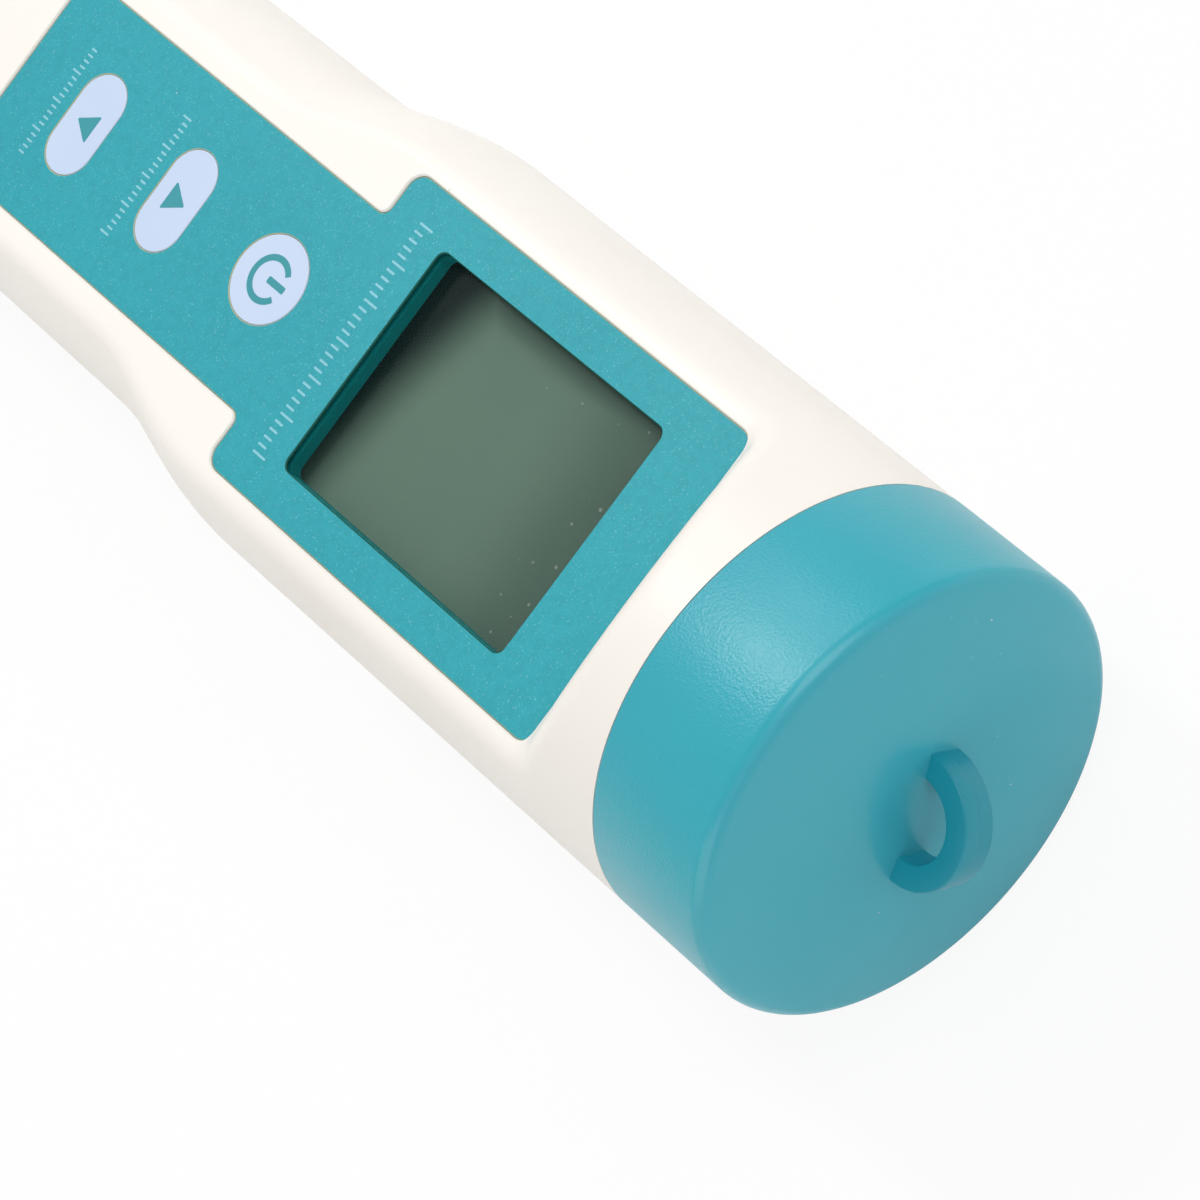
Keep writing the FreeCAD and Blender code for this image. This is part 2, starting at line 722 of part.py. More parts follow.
def make_panel():
    """Plate in the recess, overlay on the plate, and the clear lens between them."""
    plate = panel_slab("panel_plate", "0", "Places.well_z", "Places.plate_z")
    window_cut(plate, "0", "Places.plate_z", "Sizes.well_depth", "Sizes.window_corner")
    seat = "Sizes.lens_lap + Sizes.lens_gap"
    window_cut(plate, seat, "Places.plate_z", "Sizes.lens_thickness + Sizes.lens_gap", "Sizes.window_corner")
    key_cut(plate, "Sizes.key_flange + Sizes.flange_gap", "Places.plate_z", "Sizes.well_depth")
    keep(plate, "panel_plate")
    film = panel_slab("panel_film", "0", "Places.plate_z", "Places.panel_z")
    window_cut(film, "0", "Places.panel_z", "Sizes.film_thickness", "Sizes.window_corner")
    key_cut(film, "Sizes.key_gap", "Places.panel_z", "Sizes.film_thickness")
    keep(film, "panel_film")
    lens = new_body("display_window")
    sketch = new_sketch(lens, "lens_outline", "XY_Plane", "Places.lens_z")
    near, far = "Places.window_near_x + Sizes.lens_lap", "Places.window_far_x - Sizes.lens_lap"
    half = "Sizes.window_width / 2 + Sizes.lens_lap"
    rectangle(sketch, far, near, f"-({half})", half)
    pad(lens, sketch, "Sizes.lens_thickness")
    round_edges(lens, upright_at([(x, y) for x in (near, far) for y in (half, f"-({half})")]), "Sizes.window_corner")
    keep(lens, "display_window")


def make_keys():
    """Each key: a top that is flush with the overlay, a flange under it and a stem to its switch."""
    for name, place in (("power", "Places.power_x"), ("up", "Places.up_x"), ("down", "Places.down_x")):
        key = new_body(f"{name}_key")
        for stage, grow, low, high in (
            ("flange", "Sizes.key_flange", "Places.key_low_z", "Places.flange_z"),
            ("top", "0", "Places.flange_z", "Places.panel_z"),
        ):
            sketch = new_sketch(key, f"{name}_{stage}", "XY_Plane", low)
            if name == "power":
                circle(sketch, place, "0", f"Sizes.power_diameter / 2 + {grow}")
            else:
                slot(sketch, place, f"Sizes.oval_length + 2 * ({grow})", f"Sizes.oval_width + 2 * ({grow})")
            pad(key, sketch, f"({high}) - ({low})")
        top_z = mm("panel_z")
        round_edges(key, lambda edge: edge.BoundBox.ZMin > top_z - 1e-3, "Sizes.key_edge_radius")
        keep(key, f"{name}_key")
        stem = post(f"{name}_plunger", "Places.plunger_z", "Places.key_low_z", "Sizes.plunger_radius", place)
        keep(stem, f"{name}_plunger")


# Display and main board


def make_display():
    """Display cell, its light guide, the frame round both and the two contact strips."""
    width = ("-Places.lcd_half", "Places.lcd_half")
    ledge = "Sizes.lcd_ledge"
    middle_z = "Places.well_z - Sizes.lcd_thickness / 2"
    back = box("lcd_back", ("Places.lcd_far_x", "Places.lcd_near_x"), width, ("Places.lcd_low_z", middle_z))
    front = box(
        "lcd_front",
        (f"Places.lcd_far_x + {ledge} / 2", f"Places.lcd_near_x - {ledge} / 2"),
        width,
        (middle_z, "Places.well_z"),
    )
    keep(join("lcd_glass", [back, front]), "lcd_glass")
    guide = box(
        "lcd_backlight",
        (f"Places.lcd_far_x + 2 * {ledge}", f"Places.lcd_near_x - 2 * {ledge}"),
        width,
        ("Places.lcd_low_z - Sizes.backlight_thickness", "Places.lcd_low_z"),
    )
    keep(guide, "lcd_backlight")
    room = box(
        "frame_room",
        ("Places.lcd_far_x - Sizes.panel_gap", "Places.lcd_near_x + Sizes.panel_gap"),
        ("-Places.lcd_half - Sizes.panel_gap", "Places.lcd_half + Sizes.panel_gap"),
        ("Places.board_z - 1", "Places.floor_z + 1"),
    )
    ring = box(
        "frame_block",
        ("Places.frame_far_x", "Places.frame_near_x"),
        ("-Places.frame_half", "Places.frame_half"),
        ("Places.board_z", "Places.floor_z - Sizes.panel_gap"),
    )
    keep(cut("lcd_frame", ring, [room]), "lcd_frame")
    strips = []
    for name, x in (("far", "Places.lcd_far_x"), ("near", f"Places.lcd_near_x - 1.5 * {ledge}")):
        span = (f"{x} + {ledge} / 4", f"{x} + {ledge} * 5 / 4")
        reach = ("-Places.lcd_half + Sizes.lcd_ledge", "Places.lcd_half - Sizes.lcd_ledge")
        strips.append(box(f"{name}_zebra", span, reach, ("Places.board_z", "Places.lcd_low_z")))
    keep(group("zebra_strips", strips), "zebra_strips")


def make_board():
    """Main board under the display and keys, with its switches, chips and screws."""
    board = new_body("main_board")
    sketch = new_sketch(board, "board_outline", "XY_Plane", "Places.board_low_z")
    wide, narrow = "Places.board_half", "Sizes.board_grip_width / 2"
    near, step, far = "Places.board_near_x", "Places.board_step_x", "Places.board_far_x"
    right = [(near, wide), (step, wide), (step, narrow), (far, narrow)]
    outline(sketch, right + [(x, f"-{y}") for x, y in reversed(right)])
    pad(board, sketch, "Sizes.board_thickness")
    holes = new_sketch(board, "board_holes", "XY_Plane", "Places.board_z")
    for _, x, y, _ in boss_spots():
        circle(holes, x, y, "Sizes.screw_radius + Sizes.pilot_gap")
    pocket(board, holes, "Sizes.board_thickness")
    keep(board, "main_board")
    switches = []
    for name, place in (("power", "Places.power_x"), ("up", "Places.up_x"), ("down", "Places.down_x")):
        side = "Sizes.switch_side / 2"
        case = box(
            f"{name}_switch_case",
            (f"{place} - {side}", f"{place} + {side}"),
            (f"-{side}", side),
            ("Places.board_z", "Places.switch_z"),
        )
        bore = post(
            f"{name}_switch_bore",
            "Places.switch_z - Sizes.switch_bore_depth",
            "Places.switch_z + 1",
            "Sizes.plunger_radius + Sizes.plunger_gap",
            place,
        )
        switches.append(cut(f"{name}_switch", case, [bore]))
    keep(group("switch_bodies", switches), "switch_bodies")
    screws = []
    for name, x, y, _ in boss_spots():
        head_z = "Places.board_low_z - Sizes.screw_head_height"
        shank = post(
            f"{name}_shank",
            "Places.board_low_z",
            "Places.board_low_z + Sizes.screw_length",
            "Sizes.screw_radius",
            x,
            y,
        )
        head = post(f"{name}_head", head_z, "Places.board_low_z", "Sizes.screw_head_radius", x, y)
        screws.append(join(f"{name}_screw", [shank, head]))
    keep(group("board_screws", screws), "board_screws")
    chips = []
    for name, x, y, length, width, height in CHIPS:
        low = f"Places.board_low_z - {height}"
        span = (f"Places.board_step_x + {x}", f"Places.board_step_x + {x + length}")
        chips.append(box(name, span, (str(y - width / 2), str(y + width / 2)), (low, "Places.board_low_z")))
    keep(group("board_chips", chips), "board_chips")


# name, place from the board's step, side offset, length, width and height
CHIPS = (
    ("controller", 10.0, 0.0, 10.0, 10.0, 1.4),
    ("display_driver", 24.0, -4.0, 7.0, 7.0, 1.2),
    ("crystal", 24.0, 6.0, 3.2, 8.0, 2.2),
    ("amplifier", -14.0, 0.0, 5.0, 4.0, 1.5),
    ("converter", -30.0, 0.0, 5.0, 6.2, 1.5),
)


# Battery end


def make_battery_holder():
    """Bulkhead of the collar with the neck for the cap and the tube for the cells."""
    bulkhead, groove = "Places.bulkhead_x", "Places.groove_x"
    groove_end = f"{groove} + Sizes.groove_width"
    core = "Places.seam_x + Sizes.neck_core_floor"
    neck_bore = "Places.neck_radius - Sizes.neck_wall"
    corners = [
        ("Places.tube_x", "0"),
        ("Places.tube_x", "Places.tube_radius"),
        (bulkhead, "Places.tube_radius"),
        (bulkhead, "Places.bulkhead_radius"),
        ("Places.seam_x", "Places.bulkhead_radius"),
        ("Places.seam_x", "Places.neck_radius"),
        (groove, "Places.neck_radius"),
        (groove, "Places.neck_radius - Sizes.groove_depth"),
        (groove_end, "Places.neck_radius - Sizes.groove_depth"),
        (groove_end, "Places.neck_radius"),
        ("Places.neck_x", "Places.neck_radius"),
        ("Places.neck_x", neck_bore),
        (core, neck_bore),
        (core, "Places.tube_radius"),
        ("Places.neck_x", "Places.tube_radius"),
        ("Places.neck_x", "Places.tube_bore"),
        ("Places.tube_x + Sizes.tube_floor", "Places.tube_bore"),
        ("Places.tube_x + Sizes.tube_floor", "0"),
    ]
    keep(turned("battery_holder", corners, "Places.axis_z"), "battery_holder")


def make_seal(name, groove_x, width, inner, outer, height):
    """O-ring in a groove, round the pen's length."""
    ring = doc.addObject("Part::Torus", name)
    ring.Placement = FreeCAD.Placement(V(), FreeCAD.Rotation(V(0, 1, 0), 90))
    ring.setExpression("Radius1", f"(({inner}) + ({outer})) / 2")
    ring.setExpression("Radius2", f"(({outer}) - ({inner})) / 2")
    ring.setExpression("Placement.Base.x", f"{groove_x} + ({width}) / 2")
    ring.setExpression("Placement.Base.z", height)
    keep(ring, name)


def make_cells():
    """Four button cells in a row, the contact at the bottom of the tube and the one in the cap."""
    for count in range(4):
        start = f"Places.cells_x + {count} * Sizes.cell_height"
        end = f"{start} + Sizes.cell_height"
        can = rod(f"cell_can_{count + 1}", f"{start} + Sizes.cell_step", end, "Sizes.cell_radius")
        lid = rod(f"cell_lid_{count + 1}", start, f"{start} + Sizes.cell_step", "Sizes.cell_radius * 0.84")
        keep(join(f"button_cell_{count + 1}", [can, lid]), f"button_cell_{count + 1}")
    bottom = "Places.tube_x + Sizes.tube_floor"
    keep(rod("tube_contact", bottom, "Places.cells_x", "Sizes.cell_radius * 0.8"), "tube_contact")
    back = "Places.ceiling_x - Sizes.cap_contact_gap"
    front = f"{back} - Sizes.cap_contact_thickness"
    disc = rod("cap_contact_disc", front, back, "Sizes.cap_contact_radius")
    nose = rod("cap_contact_nose", "Places.cells_end_x + Sizes.cap_contact_gap", front, "Sizes.cap_contact_nose")
    keep(join("cap_contact", [disc, nose]), "cap_contact")


def make_battery_cap():
    """Screw cap: a skirt, a gently domed end with a rounded rim, and a half-ring for a lanyard."""
    rim = "Places.seam_x + Sizes.cap_seam_gap"
    corners = [
        (rim, "Places.cap_bore"),
        (rim, "Places.axis_z"),
        ("Places.face_x", "Places.axis_z"),
        ("Places.dome_x", "0"),
        ("Places.ceiling_x", "0"),
        ("Places.ceiling_x", "Places.cap_bore"),
    ]
    dome_radius = "(Places.axis_z * Places.axis_z / Sizes.dome_rise + Sizes.dome_rise) / 2"
    arcs = {2: (f"Places.dome_x - {dome_radius}", "0", "v", -1)}
    cap = turned("battery_cap", corners, "Places.axis_z", arcs)
    face_x, radius = mm("face_x"), mm("axis_z")

    def rim_edge(edge):
        bounds = edge.BoundBox
        flat_ring = bounds.XLength < 1e-3 and abs(bounds.XMin - face_x) < 1e-3
        return flat_ring and bounds.YLength > 1.9 * radius

    round_edges(cap, rim_edge, "Sizes.face_fillet")
    sketch = new_sketch(cap, "loop_outline", "XZ_Plane")
    sketch.AttachmentOffset = FreeCAD.Placement(V(), FreeCAD.Rotation(V(1, 0, 0), 1))
    sketch.setExpression("AttachmentOffset.Rotation.Angle", "Sizes.loop_turn - 90")
    foot, centre = "Places.dome_x - Sizes.cap_ceiling / 2", "Places.dome_x"
    outer, inner = "Sizes.loop_outer_radius", "Sizes.loop_inner_radius"
    ring = [(foot, outer), (centre, outer), (centre, f"-{outer}"), (foot, f"-{outer}")]
    ring += [(foot, f"-{inner}"), (centre, f"-{inner}"), (centre, inner), (foot, inner)]
    outline(sketch, ring, {1: (centre, "0", "u", -1), 5: (centre, "0", "u", 1)})
    pad(cap, sketch, "Sizes.loop_thickness", symmetric=True)
    tip_x = mm("tip_x")
    round_edges(cap, lambda edge: edge.BoundBox.XMax > tip_x - 0.01, "Sizes.loop_edge_radius")
    keep(cap, "battery_cap")


# Probe end


def make_probe_holder():
    """Barrel through the end wall, with a groove, a sensor face and a guard with four windows."""
    bore = "Sizes.barrel_radius"
    groove, deep = "Places.probe_groove_x", f"{bore} - Sizes.probe_groove_depth"
    groove_end = f"{groove} - Sizes.probe_groove_width"
    corners = [
        ("Places.flange_x", "0"),
        ("Places.flange_x", f"{bore} + Sizes.probe_flange"),
        ("Places.end_wall_x", f"{bore} + Sizes.probe_flange"),
        ("Places.end_wall_x", bore),
        (groove, bore),
        (groove, deep),
        (groove_end, deep),
        (groove_end, bore),
        ("Places.guard_x", bore),
        ("Places.guard_x", f"{bore} - Sizes.guard_wall"),
        ("Places.sensor_x", f"{bore} - Sizes.guard_wall"),
        ("Places.sensor_x", "0"),
    ]
    holder = turned("probe_holder", corners, "Places.probe_z")
    span = ("Places.guard_x + Sizes.guard_ring", "Places.sensor_x - Sizes.guard_shoulder")
    for role in ("XY_Plane", "XZ_Plane"):
        sketch = new_sketch(holder, f"guard_window_{role[:2].lower()}", role)
        rectangle(sketch, span[0], span[1], "-Sizes.guard_window / 2", "Sizes.guard_window / 2")
        pocket(holder, sketch, "Sizes.barrel_radius * 3", symmetric=True)
    keep(holder, "probe_holder")


def around(angle):
    """Place on the sensor circle at a named angle: side offset and height."""
    return f"Sizes.sensor_circle * cos({angle})", f"Places.probe_z + Sizes.sensor_circle * sin({angle})"


def make_sensors():
    """Glass electrode on the axis, and the other sensors in a ring round it."""
    face = "Places.sensor_x"
    keep(rod("ph_stem", "Places.stem_x", face, "Sizes.stem_radius", z="Places.probe_z"), "ph_stem")
    ball = doc.addObject("Part::Sphere", "bulb_ball")
    ball.setExpression("Radius", "Sizes.bulb_radius")
    seat = "sqrt(Sizes.bulb_radius ^ 2 - Sizes.stem_radius ^ 2)"
    ball.setExpression("Placement.Base.x", f"Places.stem_x - {seat}")
    ball.setExpression("Placement.Base.z", "Places.probe_z")
    side = ("-Sizes.bulb_radius", "Sizes.bulb_radius")
    height = ("Places.probe_z - Sizes.bulb_radius", "Places.probe_z + Sizes.bulb_radius")
    keep(cut("ph_bulb", ball, [box("bulb_neck", ("Places.stem_x", f"{face}"), side, height)]), "ph_bulb")
    y, z = around("Sizes.orp_turn")
    stem = rod("orp_stem", f"{face} - Sizes.orp_length", face, "Sizes.orp_radius", y, z)
    band_end = f"{face} - Sizes.orp_length + Sizes.orp_band"
    band = rod("orp_band", band_end, f"{band_end} + Sizes.orp_band", "Sizes.orp_radius + Sizes.orp_band_rise", y, z)
    keep(join("orp_electrode", [stem, band]), "orp_electrode")
    y, z = around("Sizes.thermo_turn")
    length = "Sizes.thermo_length - Sizes.thermo_radius"
    tube = rod("thermo_tube", f"{face} - ({length})", face, "Sizes.thermo_radius", y, z)
    nose = doc.addObject("Part::Sphere", "thermo_nose")
    nose.setExpression("Radius", "Sizes.thermo_radius")
    for axis, value in zip("xyz", (f"{face} - ({length})", y, z)):
        nose.setExpression(f"Placement.Base.{axis}", value)
    keep(join("temperature_sensor", [tube, nose]), "temperature_sensor")
    pins = []
    for count, angle in enumerate(("Sizes.pin_turn", "Sizes.second_pin_turn"), start=1):
        y, z = around(angle)
        pins.append(rod(f"ec_pin_{count}", f"{face} - Sizes.pin_length", face, "Sizes.pin_radius", y, z))
    keep(group("ec_pins", pins), "ec_pins")
    y, z = around("Sizes.junction_turn")
    plug = rod("reference_junction", f"{face} - Sizes.junction_height", face, "Sizes.junction_radius", y, z)
    keep(plug, "reference_junction")
    half = "Sizes.connector_width / 2"
    block = box(
        "probe_connector",
        ("Places.flange_x", "Places.flange_x + Sizes.connector_length"),
        (f"-{half}", half),
        ("Places.board_low_z - Sizes.connector_height", "Places.board_low_z"),
    )
    keep(block, "probe_connector")


def make_electrode_cap(form):
    """Pull-off cap over the probe, in line with the housing, with a sponge at its bottom."""
    far_x, near_x = mm("end_x"), mm("probe_x") - mm("electrode_seam_gap")
    half = mm("head_diameter")
    block = Part.makeBox(near_x - far_x + OVERSHOOT, 2 * half, 2 * half, V(far_x - OVERSHOOT, -half, -1))
    outside = fixed_shape("electrode_cap_form", soften(form.common(block), True))
    bore = rod(
        "electrode_cap_bore", "Places.sponge_seat_x", "Places.probe_x", "Places.electrode_bore", z="Places.probe_z"
    )
    keep(cut("electrode_cap", outside, [bore]), "electrode_cap")
    sponge = rod(
        "cap_sponge",
        "Places.sponge_seat_x",
        "Places.sponge_seat_x + Sizes.sponge_thickness",
        "Places.electrode_bore - Sizes.sponge_gap",
        z="Places.probe_z",
    )
    keep(sponge, "cap_sponge")


def check_and_write():
    """Stop on any failed object or bad shape, then write one file for each sub-part."""
    doc.recompute()
    failed = [item.Name for item in doc.Objects if {"Invalid", "Error"} & set(item.State)]
    if failed:
        raise RuntimeError(f"failed objects: {failed}")
    for piece in pieces:
        shape = piece.Shape
        if shape.isNull() or not shape.isValid() or not shape.Solids:
            raise RuntimeError(f"bad shape: {piece.Label}")
    os.makedirs("parts", exist_ok=True)
    for piece in pieces:
        piece.Shape.exportStep(os.path.join("parts", f"{piece.Label}.step"))
        bounds = piece.Shape.BoundBox
        print(
            f"{piece.Label:20s} solids {len(piece.Shape.Solids)} volume {piece.Shape.Volume:10.2f}"
            f"  x {bounds.XMin:7.2f} {bounds.XMax:7.2f}  y {bounds.YMin:7.2f} {bounds.YMax:7.2f}"
            f"  z {bounds.ZMin:7.2f} {bounds.ZMax:7.2f}"
        )


def main():
    """Build every sub-part and write it."""
    form = outer_form()
    make_shells(fixed_shape("outer_form", soften(form, False)))
    make_panel()
    make_keys()
    make_display()
    make_board()
    make_battery_holder()
    neck_floor = "Places.neck_radius - Sizes.groove_depth"
    neck_rim = "Places.cap_bore - Sizes.seal_gap"
    make_seal("neck_seal", "Places.groove_x", "Sizes.groove_width", neck_floor, neck_rim, "Places.axis_z")
    make_cells()
    make_battery_cap()
    make_probe_holder()
    groove_x = "Places.probe_groove_x - Sizes.probe_groove_width"
    probe_floor = "Sizes.barrel_radius - Sizes.probe_groove_depth"
    probe_rim = "Places.electrode_bore - Sizes.seal_gap"
    make_seal("probe_seal", groove_x, "Sizes.probe_groove_width", probe_floor, probe_rim, "Places.probe_z")
    make_sensors()
    make_electrode_cap(form)
    check_and_write()


main()
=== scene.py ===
import logging
import math
from collections.abc import Callable, Sequence
from dataclasses import dataclass, field
from enum import Enum

import bmesh
import bpy
from mathutils import Matrix, Vector


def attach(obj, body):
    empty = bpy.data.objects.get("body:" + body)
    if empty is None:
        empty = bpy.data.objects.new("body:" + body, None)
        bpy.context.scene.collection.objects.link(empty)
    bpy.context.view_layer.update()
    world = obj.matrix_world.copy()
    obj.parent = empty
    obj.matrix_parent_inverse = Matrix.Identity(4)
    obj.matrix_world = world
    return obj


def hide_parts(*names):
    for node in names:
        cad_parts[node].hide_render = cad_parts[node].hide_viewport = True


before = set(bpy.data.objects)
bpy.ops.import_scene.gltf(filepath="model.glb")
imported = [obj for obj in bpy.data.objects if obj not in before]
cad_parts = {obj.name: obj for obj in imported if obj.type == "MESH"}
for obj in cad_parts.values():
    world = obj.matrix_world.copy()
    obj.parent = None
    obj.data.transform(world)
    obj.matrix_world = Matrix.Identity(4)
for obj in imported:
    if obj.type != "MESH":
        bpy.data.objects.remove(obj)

log = logging.getLogger("water_tester")

MM = 0.001
TURN = 2 * math.pi
ROUND_STEPS = 128
CAP_STEPS = 256
CELL_STEPS = 96
GLASS_STEPS = 48
ROD_STEPS = 40
PIN_STEPS = 32
SHARP_ANGLE = math.radians(32)
CRISP = math.radians(12)
WELD = 1e-5
HAIR = 1e-3
PRINT_SINK = 0.01
PRINT_RISE = 0.012
SHADE = 0.93

Point = tuple[float, float]
Triple = tuple[float, float, float]
Colour = Triple
Socket = bpy.types.NodeSocket
Shape = bmesh.types.BMesh
Edge = bmesh.types.BMEdge


class Body(Enum):
    """The rigid bodies that pieces ride on."""

    PEN = "pen"
    SCREW_CAP = "screw_cap"
    CARRIAGE = "cap_carriage"
    PROBE_CAP = "probe_cap"
    POWER = "power_button"
    UP = "up_button"
    DOWN = "down_button"


# Colours and shader nodes


def linear(red: float, green: float, blue: float) -> Colour:
    """Turns a display colour from 0 to 255 into the linear colour a shader takes.

    Args:
        red: red channel.
        green: green channel.
        blue: blue channel.

    Returns:
        The three linear channels from 0 to 1.
    """
    channels = []
    for value in (red, green, blue):
        share = value / 255
        channels.append(share / 12.92 if share <= 0.04045 else ((share + 0.055) / 1.055) ** 2.4)
    return tuple(channels)


class Web:
    """Short way to place and join the nodes of one tree."""

    def __init__(self, tree: bpy.types.NodeTree) -> None:
        """Starts on an empty tree."""
        self.tree = tree
        tree.nodes.clear()

    def node(self, kind: str, inputs: dict | None = None, **settings: object) -> bpy.types.Node:
        """Adds a node.

        Args:
            kind: node type without the ShaderNode in front.
            inputs: socket name or number to a value or to another node's output.
            **settings: properties of the node itself.

        Returns:
            The new node.
        """
        made = self.tree.nodes.new(kind if kind.startswith("Node") else f"ShaderNode{kind}")
        for name, value in settings.items():
            setattr(made, name, value)
        for name, value in (inputs or {}).items():
            self.feed(made.inputs[name], value)
        return made

    def feed(self, socket: Socket, value: object) -> None:
        """Links an output to a socket, or sets the socket to a value."""
        if isinstance(value, Socket):
            self.tree.links.new(value, socket)
        else:
            socket.default_value = value

    def math(self, operation: str, *values: object, clamp: bool = False) -> Socket:
        """Adds a Math node and gives its output."""
        inputs = dict(enumerate(values))
        return self.node("Math", inputs, operation=operation, use_clamp=clamp).outputs[0]

    def times(self, first: object, second: object) -> Socket:
        """Multiplies two values."""
        return self.math("MULTIPLY", first, second)

    def rest(self, value: object) -> Socket:
        """Gives what a value leaves of 1."""
        return self.math("SUBTRACT", 1.0, value)

    def mix(self, share: object, first: object, second: object) -> Socket:
        """Adds a colour mix and gives its output."""
        made = self.node("Mix", {"Factor": share}, data_type="RGBA")
        for index, value in ((6, first), (7, second)):
            self.feed(made.inputs[index], value if isinstance(value, Socket) else (*value, 1.0))
        return made.outputs[2]

    def ramp(self, value: object, low: float, high: float) -> Socket:
        """Adds a smooth step from 0 at low to 1 at high."""
        inputs = {"Value": value, "From Min": low, "From Max": high}
        return self.node("MapRange", inputs, interpolation_type="SMOOTHSTEP").outputs[0]

    def place(self) -> Socket:
        """Adds the object coordinates."""
        return self.node("TexCoord").outputs["Object"]

    def axes(self, where: object | None = None) -> tuple[Socket, ...]:
        """Adds the three separate coordinates of a place, or of the object coordinates."""
        return tuple(self.node("SeparateXYZ", {"Vector": where or self.place()}).outputs)


class Group(Enum):
    """Shader node groups that several finishes share."""

    GRAIN = "moulded_grain"
    DUST = "fine_dust"
    SCUFF = "light_scuffs"

    def tree(self) -> bpy.types.NodeTree:
        """Gives the group's tree, which is built at its first use."""
        return bpy.data.node_groups.get(self.value) or GROUP_BUILDERS[self](self.value)


def new_group(
    name: str, inputs: dict[str, float], outputs: Sequence[str]
) -> tuple[Web, bpy.types.Node, bpy.types.Node]:
    """Makes an empty shader node group.

    Args:
        name: name of the group.
        inputs: name and default of each number that goes in.
        outputs: name of each number that comes out.

    Returns:
        The web on the group's tree, its input node and its output node.
    """
    tree = bpy.data.node_groups.new(name, "ShaderNodeTree")
    tree.interface.new_socket("Vector", in_out="INPUT", socket_type="NodeSocketVector")
    for label, value in inputs.items():
        socket = tree.interface.new_socket(label, in_out="INPUT", socket_type="NodeSocketFloat")
        socket.default_value = value
    for label in outputs:
        tree.interface.new_socket(label, in_out="OUTPUT", socket_type="NodeSocketFloat")
    web = Web(tree)
    return web, web.node("NodeGroupInput"), web.node("NodeGroupOutput")


def grain_group(name: str) -> bpy.types.NodeTree:
    """Builds the spark-eroded grain of a mould: fine height, and a slow mottle of the tone."""
    web, source, sink = new_group(name, {"Scale": 3000.0, "Mottle Scale": 60.0}, ("Height", "Mottle"))
    where, scale = source.outputs["Vector"], source.outputs["Scale"]
    pit_share = 0.6
    fine = web.node("TexNoise", {"Vector": where, "Scale": scale, "Detail": 4.0, "Roughness": 0.6})
    pits = web.node("TexVoronoi", {"Vector": where, "Scale": scale, "Randomness": 1.0}, feature="F1")
    height = web.math("ADD", fine.outputs[0], web.times(pits.outputs[0], pit_share))
    slow = web.node("TexNoise", {"Vector": where, "Scale": source.outputs["Mottle Scale"], "Detail": 5.0})
    web.feed(sink.inputs["Height"], height)
    web.feed(sink.inputs["Mottle"], web.ramp(slow.outputs[0], 0.3, 0.7))
    return web.tree


def dust_group(name: str) -> bpy.types.NodeTree:
    """Builds sparse specks: a few small cells are lit near their middle."""
    web, source, sink = new_group(name, {"Scale": 500.0, "Amount": 0.05, "Size": 0.13}, ("Mask",))
    where, scale, amount, size, *_ = source.outputs
    least = 0.3
    cells = web.node("TexVoronoi", {"Vector": where, "Scale": scale, "Randomness": 1.0})
    pick, spread, _ = web.axes(cells.outputs["Color"])
    reach = web.times(size, web.math("ADD", spread, least))
    near = web.math("LESS_THAN", cells.outputs["Distance"], reach)
    web.feed(sink.inputs["Mask"], web.times(web.math("LESS_THAN", pick, amount), near))
    return web.tree


def scuff_group(name: str) -> bpy.types.NodeTree:
    """Builds faint handling marks: thin streaks that a slow noise breaks up."""
    web, source, sink = new_group(name, {"Scale": 90.0, "Amount": 0.5}, ("Mask",))
    where, scale, amount, *_ = source.outputs
    turn, stretch = (0.3, 0.5, 0.6), (1.0, 14.0, 6.0)
    stretched = web.node("Mapping", {"Vector": where, "Rotation": turn, "Scale": stretch}).outputs[0]
    streaks = web.node("TexNoise", {"Vector": stretched, "Scale": scale, "Detail": 3.0})
    patches = web.node("TexNoise", {"Vector": where, "Scale": 40.0, "Detail": 2.0})
    thin = web.ramp(streaks.outputs[0], 0.62, 0.72)
    broken = web.ramp(patches.outputs[0], 0.5, 0.65)
    web.feed(sink.inputs["Mask"], web.times(web.times(thin, broken), amount))
    return web.tree


GROUP_BUILDERS = {
    Group.GRAIN: grain_group,
    Group.DUST: dust_group,
    Group.SCUFF: scuff_group,
}


